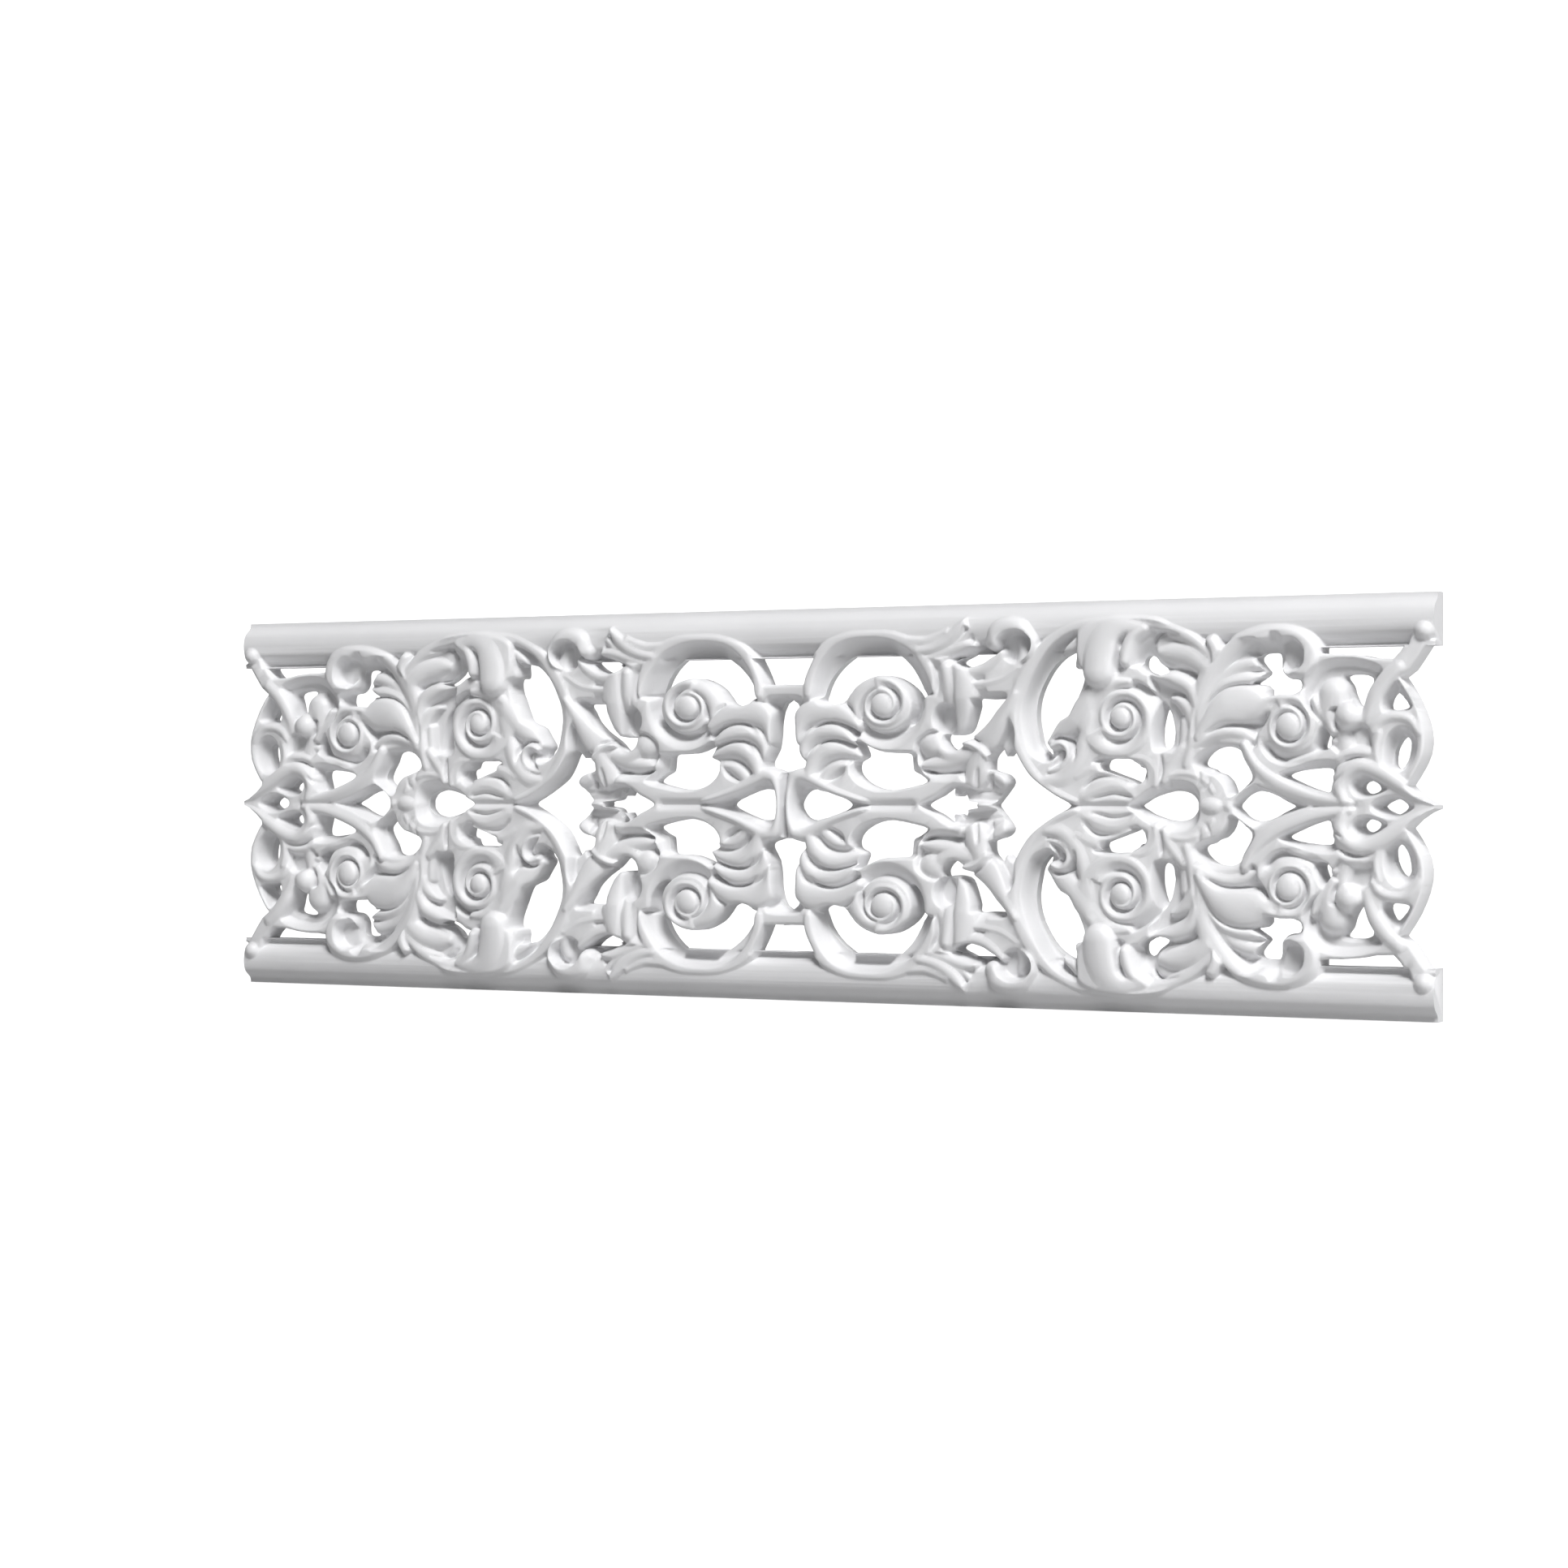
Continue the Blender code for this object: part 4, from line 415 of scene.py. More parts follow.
    relief.hole([(356.5, 10), (358, 13), (362, 14), (366, 12), (367, 9), (363, 7), (359, 7.2)],
        [(352.5, 10.5), (355, 15.5), (362, 17.5), (369, 14), (374, 9.5), (366, 6), (357, 5.5)], foot=6,
        per=3)
    relief.hole(over_axis([(368.5, 0), (372, 2.8), (377, 4.3), (381, 2.6), (383, 0)]),
        over_axis([(364, 0), (368, 4), (377, 6), (384, 4), (389, 0)]), foot=7, per=3)
    # Open space outside the right end, between the rails
    relief.hole([(396, 88.7), (391, 81), (386, 74), (380.5, 70), (384, 65), (387.7, 59), (390.8, 52.5),
        (393.2, 46), (394.6, 40), (394.8, 34), (393.8, 28), (391.4, 22.5), (388.2, 17), (384.5, 11.5),
        (389, 7), (395, 3), (400.5, 0.8), (420, 0), (420, 88.7)], per=1)


def first_scroll(relief):
    """Snail, leaf and loop of the first scroll, and the leaf on the rail."""
    # Snail of the first scroll
    relief.line([(84, 66), (86, 58), (83, 49), (75, 43), (66, 41.5), (57, 44), (51, 50)], 7.0, 1.5, 9,
        1.2)
    relief.stroke([(76, 69, 3), (68, 71.3, 4), (60, 71.2, 4.4), (52, 67.5, 5), (47, 61, 5.5),
        (45, 54, 5.5)], 15.5, 12.5, crown=2.2, way="set", soft=1.0)
    relief.line([(68, 67), (60, 66.5), (55, 62), (52.5, 56), (52, 50)], 5.5, 1.2, 2.5, 1.2)
    relief.volute(66, 58.5, 17.6, 1.12, start=105, hand=-1, shrink=0.55, rim=17.0, dip=5.5, ball=7.4,
        top=EYE)
    # Leaf left of the first snail
    relief.plate([(12, 60), (10, 45), (9, 30), (16, 18), (28, 14), (38, 17), (42, 24), (50, 27),
        (47, 36), (50, 44), (44, 58), (30, 59)], 11.5, way="sink", soft=3)
    relief.stroke([(8, 38, 4), (10.5, 48, 6.5), (18, 54, 8), (31, 54.5, 7.5), (42, 51.5, 6),
        (50, 46.5, 3.4)], 15, 14.5, crown=2.2, edge=3, soft=1.2)
    relief.stroke([(12, 28, 4), (15, 36.5, 5), (22, 42, 5.6), (31, 43, 5.6), (40, 41, 4.8),
        (47.5, 36.8, 2.6)], 14, 13, crown=3.0, edge=3, soft=0.8)
    relief.stroke([(17, 18, 4.5), (20.5, 26, 6), (27, 31.5, 6.4), (36, 32.5, 5.6), (45, 30.5, 4.2),
        (50.5, 28.3, 2)], [14.5, 14, 10.5], [14, 13, 9.5], crown=3.0, edge=3, soft=0.8)
    relief.stroke([(24, 12, 4.5), (29, 18, 4.6), (35, 22, 4), (41, 23.5, 2.6)], 13.5, 13, crown=2.0,
        edge=3, soft=1.0)
    relief.line([(49, 34.5), (42, 36.6), (34, 38), (26, 36.8), (19.5, 31, 0.3)], 4.0, 1.2, 1.6, 1.2)
    relief.line([(50, 40.5), (43, 46), (34, 48.8), (25, 47.6), (17, 42, 0.3)], 4.5, 1.2, 1.8, 1.2)
    # Seams on the long axis
    relief.line([(0, 0), (5, 0)], 2, 2, 2)
    relief.plate([(-8, 16), (0, 18.5), (10, 18), (20, 13), (40, 4), (40, -4), (0, -6), (-12, 0)], 13,
        way="sink", soft=3)
    relief.stroke([(56, 2, 1.8), (44, 5.4, 2.4), (32, 9.4, 3), (22, 14, 3.6), (13.5, 17.8, 4.2),
        (7, 16.6, 4), (4, 10, 2.8), (3, 3, 2.3), (3, -3, 2.3)], 15.5, 14.5, crown=2.4, soft=0.8)
    relief.line([(0, 26), (0, 13), (0, 0)], 5.0, 1.8, 1.8, 1.2)
    relief.line([(52, 0), (88, 0)], 3.0, 4.5, 4.5, 1.3)
    relief.line([(188, 0), (222, 0)], 2.5, 3.5, 3.5, 1.3)
    relief.line([(330, 0), (357, 0)], 3.0, 4.5, 4.5, 1.3)
    # Joint of the first scroll with the leaf on the rail
    relief.line([(91, 65.5), (99.5, 65.5)], 5, 2.5, 0.8)
    relief.line([(101, 64), (101.5, 74), (98.5, 83), (90, 91, 0.3)], 3.0, 3.0, 1.0)
    # Hanging lobe and the cup beside it
    relief.plate([(128, 78), (132, 66), (128, 50), (122, 39), (112, 38), (106, 41), (106, 60),
        (112, 76)], 8, way="sink", soft=3)
    relief.stroke([(117, 79, 5.5), (119.5, 69, 7.6), (120, 59, 8), (118, 50, 6.6), (115.5, 43.5, 3.5)],
        [16, 14.5, 10], [16.5, 16.5, 11.5], crown=2.4, edge=3)
    relief.stroke([(108, 79, 4.5), (109, 69, 5.6), (108.5, 60, 5.2), (106.5, 53, 3)], [16, 14, 10], [16,
        14, 10], crown=3.0, edge=2.5, soft=0.8)
    relief.plate([(101, 55), (104.5, 58), (109.5, 57), (111, 51), (109, 44), (105, 41), (101.5, 44),
        (99.5, 50)], 5, way="sink", soft=1.5)
    # Leaf on the rail
    relief.plate([(98, 86), (100, 93), (106, 98), (112, 98), (118, 103), (123, 100), (126, 91),
        (120, 87.5), (110, 86)], 13.5, way="sink", soft=2)
    relief.stroke([(84, 95.5, 2.5), (94, 94.5, 3.2), (103, 97, 3.2), (109, 101.5, 1.2)], 16.5, 16,
        crown=1.2, soft=1.0)
    relief.stroke([(90, 89, 3), (100, 91, 3.6), (109, 95.5, 4.2), (116, 101.5, 3.6), (120, 106.5, 1.2)],
        16.5, 16, crown=2.0, soft=0.8)
    relief.stroke([(96, 85, 2.5), (106, 87.5, 3.4), (115, 90.5, 3.6), (122, 92, 3), (126.5, 91.5, 1.5)],
        15.5, 14.5, crown=2.0, soft=0.8)
    relief.stroke([(112, 92, 2), (118, 95.5, 2.6), (123, 100, 2.2), (125, 104, 1)], 15, 14.5, crown=1.5,
        soft=0.8)
    # Curled hood beside it
    relief.plate([(141, 89), (142, 94), (146, 98), (152, 99.6), (158, 98), (162, 93.5), (161, 88),
        (157, 84), (152, 82), (147, 83.5)], 9.5, way="sink", soft=1.6)
    relief.stroke([(153, 72, 5.5), (155.5, 80, 5.2), (156, 87, 4.6), (154, 93, 3.5)], [13, 12, 10], [13,
        12, 10], crown=3.0, soft=1.5)
    relief.dome(137.5, 93.5, 5.2, 5, 13, 19)
    # Two bands from the leaf to the second scroll
    relief.stroke([(98, 85, 4), (107, 80.5, 4.6), (119, 76.2, 5), (130, 76.6, 5), (138, 81, 4.6),
        (143.5, 86.5, 2.6)], 15, 12, crown=3.0, soft=0.6)
    relief.stroke([(120, 66.5, 4.5), (132, 66.5, 5.2), (144, 69, 5), (154, 76, 3.8)], 16.5, 9.5,
        crown=1.6, soft=0.6)


def flower(relief):
    """Horn, its ring and the flower."""
    relief.plate([(88, 36), (90, 24), (94, 19), (116, 18), (121, 9), (138, 6.5), (148, 8), (150, 17),
        (150, 30), (150, 44), (142, 52), (122, 40), (110, 33), (100, 43)], 9, way="sink", soft=2)
    relief.stroke([(152, 64, 3.2), (145, 54, 5), (138, 45, 7.6), (132, 38, 9.4), (129, 33.5, 9)], [16,
        15, 13], [15, 13, 10], crown=3.0, soft=0.8)
    relief.stroke([(117.5, 36.2, 1.8), (123, 35.2, 2.4), (129.5, 31.8, 2.6), (135, 26.6, 2.4),
        (137, 23, 1.6)], 13.5, 13.5, crown=3.6, way="set")
    relief.line([(120, 39), (127, 37), (133.5, 32.5), (139, 26.5)], 4.0, 1.6, 1.4)
    relief.line([(118, 32.5), (124, 31), (129, 27.5), (132, 23)], 3.0, 1.2, 1.6)
    relief.dome(97.5, 35.5, 10, 8.4, 8, 15)
    relief.stroke([(122, 29, 4), (112, 26, 5.4), (102, 24.5, 5.4), (94, 23.5, 4), (90, 23, 1.6)], 10.5,
        10, crown=3.4, soft=1.2)
    relief.stroke([(127, 32, 4), (117, 29, 6.2), (109, 29, 6), (103, 32, 4.6)], 11.5, 11.5, crown=3.0,
        soft=1.2)
    relief.stroke([(129.5, 31, 6), (127.5, 24, 7.6), (125, 17.5, 8.4), (123, 13.5, 7)], [13, 12.5, 11],
        [13, 12.5, 11], crown=3.2, edge=2.5, soft=0.8)
    relief.line([(128, 23, 0.4), (126.5, 16), (125.5, 8.5)], 3.0, 1.8, 1.8, 1.2)
    relief.stroke([(133, 24, 3.5), (138, 18, 5), (143, 14.2, 5), (147, 13.2, 3.4)], 11, 10, crown=3.2,
        soft=0.8)
    relief.line([(136.5, 19.5), (134.5, 14), (134, 8.5)], 3.5, 1.0, 1.6)
    relief.line([(92, 20.5), (102, 18.2), (115, 19.2)], 6, 5, 0.8)
    relief.plate([(110, 11), (113, 5), (119, 3), (128, 2.2), (137, 2), (142, 6), (136, 8), (126, 9),
        (118, 11.5)], 8, way="sink", soft=2)


def second_scroll(relief):
    """Head, snail and leaves of the second scroll."""
    # Head of the second scroll
    relief.plate([(168, 36), (172, 44), (178, 50), (190, 55), (196, 47), (196, 34), (191, 22),
        (180, 17), (172, 17), (177, 28)], 11.5, way="sink", soft=2.5)
    relief.stroke([(200, 64, 5), (194, 55, 7), (186, 47, 7), (178.5, 40.5, 5.5), (172.5, 36, 3)], [15.5,
        15, 10.5], [15.5, 14.5, 11], crown=2.4, soft=1.0)
    relief.stroke([(199, 52, 4), (196, 40, 5), (193, 30, 5.4), (188, 21, 5.6), (180, 14.5, 5.4),
        (171, 14, 3.5)], 14.5, 15, crown=2.2, soft=1.0)
    relief.stroke([(174, 33.5, 1.8), (179, 35.6, 2.2), (183.5, 33, 2.4), (184.5, 27.5, 2.4),
        (180.5, 22, 2.4), (173, 19.5, 1.8)], 13.5, 13.5, crown=2.6, soft=0.8)
    relief.line([(174, 37.6), (180, 38.8), (186, 36.5), (189, 31), (188.5, 25, 0.4)], 5.0, 1.6, 1.2, 1.2)
    relief.line([(176, 30.5), (180, 31.5), (181.5, 28.5), (178.5, 25, 0.4)], 4.0, 1.2, 1.2)
    # Lower leaf of the second scroll
    relief.line([(226, 12.5), (217, 16.8), (208, 17.5), (200, 15.5), (193, 9, 0.4)], 4.0, 1.0, 3.0, 1.2)
    relief.stroke([(190, 16, 3), (199, 20.5, 3.6), (207, 20.5, 3.6), (215, 18.5, 3.2), (222, 15, 2.4)],
        14.5, 14, crown=2.0, soft=0.8)
    relief.stroke([(194, 5, 3), (204, 9.5, 3.6), (214, 11.5, 3.6), (222, 8.5, 2.6), (226, 4.5, 1.6)],
        14, 13.5, crown=2.4, soft=0.8)
    relief.line([(224, 5), (213, 7), (205, 5.5), (197, 3.5, 0.3)], 3.0, 1.0, 2.4)
    # Snail of the second scroll
    relief.line([(243, 33), (245, 43), (243, 54), (236, 63), (226, 69), (214, 69), (203, 64)], 7.0, 1.5,
        7, 1.2)
    relief.stroke([(222, 69.5, 2.5), (212, 68.5, 4.5), (203, 64, 6.5), (197.5, 56, 6.5),
        (195.5, 46, 6)], 14.5, 15.5, crown=2.0, soft=1.0)
    relief.volute(217.5, 49.5, 25.5, 1.0, start=205, hand=1, shrink=0.5, rim=17.0, dip=5.5, ball=6.6,
        top=EYE)
    # Leaf over the second snail
    relief.plate([(214, 102), (216, 90), (214, 76), (222, 78), (236, 80), (246, 74), (262, 74),
        (272, 80), (268, 92), (252, 98), (240, 102), (226, 104)], 12, way="sink", soft=2.5)
    relief.plate([(236, 74), (238, 62), (243, 52), (243, 36), (252, 30), (262, 34), (266, 50),
        (268, 70), (256, 76)], 9.5, way="sink", soft=2.5)
    relief.stroke([(230, 100, 4.5), (218, 101, 6.5), (209, 96, 9), (205.2, 86, 9.8), (204.6, 76, 9.4)],
        [17, LEAF - 3, LEAF - 2], [16.5, 18, LEAF - 2], crown=[1.5, 2.0, 2.8], edge=3.5, soft=1.6)
    relief.stroke([(232, 99.5, 3.5), (225, 95, 4), (221.5, 88, 4.4), (220.3, 81.5, 3.8)], [15.5, 16.5,
        17], [15.5, 16.5, 17], crown=3.0, edge=2.5, soft=0.8)
    relief.stroke([(190, 93, 3), (184.5, 87, 3.6), (183.5, 81.5, 3.4)], 13.5, 13.5, crown=2.0, soft=0.8)
    relief.stroke([(212, 102, 3), (226, 103.4, 3.2), (240, 101.2, 3.4), (252, 96.5, 3.6),
        (262, 91.5, 3.4), (270, 84, 3)], 16.5, 15.5, crown=1.2, soft=1.0)
    relief.stroke([(274, 64, 4), (270, 76, 7), (260, 83.5, 7.6), (249, 85.5, 7.2), (241.5, 85.5, 4.6)],
        [14.5, 14, 11], [14.5, 14, 11.5], crown=3.4, edge=2.5, soft=1.0)
    relief.stroke([(263, 56, 3.5), (259, 65.5, 5), (250, 70.5, 4.6), (240, 73, 3), (229, 76, 2.6),
        (220, 76.5, 2)], [14, 13.5, 12.5], [14.5, 13.5, 12], crown=3.0, soft=1.0)
    relief.stroke([(261, 44, 3.5), (258, 53.5, 4.8), (251.5, 58.8, 3.2), (247, 60, 1.6)], [13.5, 13,
        11], [13.5, 13, 11], crown=2.8, soft=1.0)
    relief.stroke([(253, 27, 3.2), (255, 37, 3.8), (255, 47, 3.2)], 12, 12, crown=2.4, soft=1.0)
    relief.stroke([(257, 23, 3.5), (260.5, 36, 4), (263, 50, 4.4), (266, 64, 4.8), (269.5, 78, 4.6),
        (271.5, 88, 3.4), (273, 93.5, 1.4)], 15, 15, crown=2.0, soft=1.0)
    relief.line([(236, 90), (237.5, 94.5), (243, 97.2), (254, 95, 0.3)], 5, 2.4, 1.0)
    # Claw leaf under the second snail
    relief.stroke([(221, 26.5, 2.6), (229, 27, 3), (235, 24, 3.4), (238.5, 18, 3.6), (238, 12, 3)], 14,
        14, crown=2.2, soft=0.8)
    relief.stroke([(255, 32, 3.5), (250, 26, 4.2), (246, 20.5, 4), (243.5, 14, 3)], 14.5, 14.5,
        crown=2.2, soft=0.8)
    relief.line([(241.5, 28), (242, 21), (240.5, 13, 0.4)], 4.0, 1.6, 1.6)
    relief.line([(227, 23.5), (231, 20), (232, 14)], 5, 2.4, 2)
    # Crest of the loop on the axis and its knobs
    relief.stroke([(246, 17, 2.4), (254, 18.6, 2.8), (262, 17.4, 3), (269, 13.5, 3), (273, 8, 2.4)], 14,
        14.5, crown=2.2, soft=0.8)
    relief.line([(263, 21), (265, 16.5), (264, 12, 0.4)], 2.0, 1.0, 1.4)
    relief.line([(271, 16), (269.5, 11.5), (266, 8, 0.4)], 2.0, 1.0, 1.4)
    relief.dome(272, 0, 9, 5.6, 12, 18)
    relief.dome(282, 0, 5, 4.2, 12, 17)


def large_leaf(relief):
    """The large leaf, its snail and the stem under it."""
    # Large leaf
    relief.plate([(264, 34), (262, 46), (266, 62), (273, 78), (282, 89), (292, 92), (300, 90),
        (300, 80), (308, 74), (300, 67), (308, 62), (304, 48), (298, 40), (296, 33), (278, 32)], 10,
        way="sink", soft=2.5)
    relief.stroke([(264, 40, 3), (266, 56, 4), (271, 70, 4.6), (279, 82, 4.6), (289, 91, 4),
        (300, 96, 3.4), (311, 97, 3.4), (318, 95, 3.4)], [15, 16.5, 16.5, 16], [14, 13.5, 13, 15],
        crown=1.6, soft=0.8)
    relief.stroke([(268, 52, 2.5), (274, 64, 3.6), (282, 73, 4.4), (291, 77.5, 4.4), (299, 78.5, 3.4),
        (305, 76, 1.8)], 12.5, 11.5, crown=2.2, soft=0.8)
    relief.stroke([(266, 44, 3), (271, 56, 4.2), (279, 65.5, 5), (289, 69.5, 4.8), (298, 70, 3.6),
        (304, 71.5, 1.8)], [14, 13.5, 11], [14, 13.5, 11], crown=2.8, soft=0.8)
    relief.stroke([(264, 38, 3.5), (271, 47.5, 6), (279, 53.5, 9), (289, 56, 11), (299, 55.5, 9.5),
        (305, 55, 5)], [15.5, 16, 14], [15.5, 16, 13.5], crown=2.6, edge=3, soft=0.6)
    relief.stroke([(262, 34, 3.5), (272, 39.5, 4.4), (282, 41, 4.6), (291, 39, 4.4), (297, 36, 2.6)],
        [14.5, 14, 11.5], [14, 13, 11], crown=2.8, soft=0.8)
    relief.stroke([(262, 30, 3), (270, 35.5, 3.6), (280, 36.2, 3.4), (289, 34.5, 2.8), (294, 33, 1.6)],
        13, 11.5, crown=2.0, soft=0.8)
    relief.line([(266, 48, 0.2), (272, 59, 0.8), (280, 65.5), (290, 67.5), (299, 66.5, 0.5)], 3.5, 1.6,
        1.2)
    relief.line([(268, 40, 0.3), (280, 44.5, 0.9), (292, 45), (302, 44.5, 0.5)], 4.0, 1.4, 1.4)
    relief.plate([(312, 90), (319, 92), (325, 87), (325.5, 79), (321, 75), (315, 75), (312, 82)], 9.5,
        way="sink", soft=2)
    relief.stroke([(306, 96.5, 3), (316, 97, 3.8), (325.5, 93, 5), (330.5, 86, 5.4), (329.5, 79, 4.6),
        (325, 74, 3.4), (319.5, 73.5, 2.2)], [15, 15.5, 14.5], [14, 11.5, 12], crown=3.2, edge=2.5,
        soft=1.0)
    # Snail of the large leaf
    relief.line([(340, 44), (337, 34), (330, 28), (320, 25), (309, 27), (302, 34)], 7.0, 5, 2.5, 1.2)
    relief.stroke([(296, 52, 4), (303, 57, 3.6), (310, 59.8, 3), (317, 59.8, 2.6)], 14.5, 14.5,
        crown=2.4, soft=1.0)
    relief.volute(317, 44.5, 18.2, 1.0, start=115, hand=-1, shrink=0.58, rim=17.0, dip=5.0, ball=7.6,
        top=EYE + 0.5)
    # Stem under it
    relief.stroke([(291, 33, 3.2), (296, 24, 3.6), (302, 17.5, 4.4), (310, 12, 5), (321, 7.5, 4.8),
        (335, 3.6, 4.2), (352, 1.5, 3)], 16, 14, crown=2.0, soft=0.8)
    relief.stroke([(313, 21.5, 2.2), (321, 24.4, 2.8), (332, 27, 3.2), (345, 27.5, 3.4)], 12.5, 12,
        crown=2.6, soft=0.8)


def end_pieces(relief):
    """Bell, curl, heart and bands at the end."""
    # Arc over the bell, bell, curl and ball
    relief.plate([(326, 60), (328, 70), (334, 77), (345, 80), (360, 79), (370, 74), (364, 66),
        (358, 58), (361, 48), (352, 36), (342, 34), (336, 46), (330, 52)], 9, way="sink", soft=2)
    relief.stroke([(326, 56, 2.6), (326.5, 64, 3.2), (330.5, 72, 3.6), (338.5, 78.5, 3.8),
        (349, 80.3, 3.8), (361, 78.8, 3.8), (373, 74.5, 3.4)], [13.5, 14, 15], [9, 8.5, 10], crown=2.0,
        soft=0.6)
    relief.stroke([(342, 50, 9.5), (342, 56, 10), (342.3, 60.5, 9.8)], 12.5, 12.5, crown=4.0, edge=5,
        soft=0.8)
    relief.stroke([(331, 58, 2.5), (334, 52, 3.4), (339, 46, 3.6), (344, 38, 3.4), (347, 31, 3)], 13.5,
        12, crown=2.6, soft=0.8)
    relief.plate([(341, 52), (342.5, 45), (347, 40.5), (354, 40), (361, 43.5), (362, 50), (356, 53),
        (348, 54)], 7.5, way="sink", soft=1.4)
    relief.stroke([(341.5, 51.5, 1.6), (341, 46, 2), (343.5, 41, 2.2), (349, 38.2, 2.2),
        (356, 39.5, 1.8)], 13, 13, crown=2.5, soft=0.6)
    relief.dome(351.5, 49.5, 8.3, 8.3, 11.5, 20.5)
    # End: strap, bead, outer band, leaf loop, heart
    relief.dome(394, 95.2, 6.5, 6, 11, 19, soft=0.5)
    relief.stroke([(387, 88.5, 1.6), (393, 88, 1.8), (399, 88.5, 1.6)], 14.5, 14.5, crown=1)
    relief.stroke([(380, 75, 4.8), (373, 69, 5), (366.5, 60, 4.8), (363, 51, 4.2), (361, 42, 4)], [15,
        15, 13], [15, 15, 13], crown=2.4, soft=0.8)
    relief.stroke([(382, 68, 2.6), (389, 58, 3.4), (393, 47, 3.8), (394, 36, 4), (392, 25, 4),
        (387, 16, 4)], 14.5, 14.5, crown=2.0, soft=0.8)
    relief.stroke([(366, 41, 3), (370, 46, 3.6), (378, 48.5, 3.6), (386, 46.8, 3.6), (391.5, 40, 3)],
        15, 14, crown=2.6, soft=0.8)
    relief.stroke([(369, 40, 2.6), (367, 31, 2.8), (369, 23, 2.8), (375, 16, 2.6)], 15, 14.5, crown=2.0,
        soft=0.8)
    relief.plate([(340, 36), (346, 40), (360, 44), (364, 36), (362, 26), (350, 26), (346, 30)], 11,
        way="sink", soft=2.5)
    relief.stroke([(347.5, 44, 3.6), (348.5, 36, 5), (351, 28, 5.6), (354, 22, 5)], 12, 12.5, crown=2.2,
        soft=1.0)
    relief.dome(343.5, 35.3, 3.6, 3, 9, 14)
    relief.dome(345.5, 27.6, 3.6, 3.2, 9, 14.5)
    relief.dome(345.3, 15.5, 4, 4, 10, 16)
    relief.stroke([(400, 1.5, 1.2), (391, 6, 3.2), (380, 12.5, 4.4), (370, 18.5, 4.8), (359, 22, 4.8),
        (350.5, 18.5, 4.4), (346.5, 11, 4), (349, 3.5, 3)], 15.5, 16, crown=2.4, soft=0.8)
    relief.stroke([(345, 26.5, 2.4), (352, 29, 3.2), (361, 29.3, 3.4), (368, 26, 2.6)], 13.5, 13.5,
        crown=2.6, soft=0.6)
    relief.line([(342, 21), (348, 24), (356, 26.6), (366, 24.5, 0.4)], 3.0, 1.2, 1.2)
    relief.line([(341, 12.5), (346, 15), (350, 19, 0.3)], 2.5, 1.2, 1.2)


def ornament(relief):
    """The drawing of one quarter, from the middle of the frieze to its right top end."""
    for motif in (bands, piercings, first_scroll, flower, second_scroll,
                  large_leaf, end_pieces):
        motif(relief)


def rail_height(from_edge):
    """Ogee of a rail: a fillet, a hollow and a broad round, the same from both of its edges."""
    x = np.minimum(from_edge, DRAWN_RAIL - from_edge) / (DRAWN_RAIL / 2)
    low, high = RAIL_EDGE_DEPTH / UNIT, RAIL_DEPTH / UNIT
    shares = [0, 0.05, 0.12, 0.38, 0.65, 0.83, 0.92, 0.97, 1.0]
    places = [0, 0.14, 0.235, 0.346, 0.45, 0.567, 0.706, 0.837, 1.0]
    return low + (high - low) * np.interp(x, places, shares)


def softened(values):
    """Neighbouring samples averaged a little, so that no cut shows the grid."""
    padded = np.pad(values, 1, mode="reflect")
    across = (padded[1:-1, :-2] + 2 * padded[1:-1, 1:-1] + padded[1:-1, 2:]) / 4
    padded = np.pad(across, 1, mode="reflect")
    return (padded[:-2, 1:-1] + 2 * padded[1:-1, 1:-1] + padded[2:, 1:-1]) / 4


def carve(relief):
    """The rail, the drawing, and the softened edges."""
    from_edge = DRAWN_HEIGHT - relief.V
    relief.H[:] = np.where(from_edge < DRAWN_RAIL, rail_height(from_edge), DRAWN_FACE)
    ornament(relief)
    relief.soften_edges(EDGE_ROUNDING / UNIT)
    top = max(RAIL_DEPTH / UNIT, LEAF + 2)
    relief.H = np.clip(softened(relief.H), LOWEST, top)


def to_size(u, v, h):
    """From the drawing to metres: the space between the rails and the rails scale on their own."""
    clear = HEIGHT / 2 - RAIL_HEIGHT
    drawn_clear = DRAWN_HEIGHT - DRAWN_RAIL
    above = clear + (np.abs(v) - drawn_clear) / DRAWN_RAIL * RAIL_HEIGHT
    z = np.where(np.abs(v) <= drawn_clear, v / drawn_clear * clear, np.sign(v) * above)
    return np.stack([u / DRAWN_LENGTH * LENGTH / 2, -h * UNIT, z], 1)


def whole(values):
    """The quarter mirrored to the left and down."""
    return np.pad(values, ((values.shape[0] - 1, 0), (values.shape[1] - 1, 0)), mode="reflect")


def grid_triangles(rows, columns):
    """Two triangles for each square of the grid."""
    index = np.arange(rows * columns).reshape(rows, columns)
    a, b, c, d = index[:-1, :-1], index[:-1, 1:], index[1:, 1:], index[1:, :-1]
    halves = [(a, b, c), (a, c, d)]
    return np.vstack([np.stack([k.ravel() for k in h], 1) for h in halves])


def settle(value, triangles):
    """Corners of the grid that lie close to an outline are put on it."""
    edges = np.vstack([triangles[:, [0, 1]], triangles[:, [1, 2]], triangles[:, [2, 0]]])
    p, q = value[edges[:, 0]], value[edges[:, 1]]
    crossing = (p * q) < 0
    share = np.where(crossing, p / np.where(crossing, p - q, 1), 0.5)
    value[edges[crossing & (share < 0.2), 0]] = 0
    value[edges[crossing & (share > 0.8), 1]] = 0
    return value


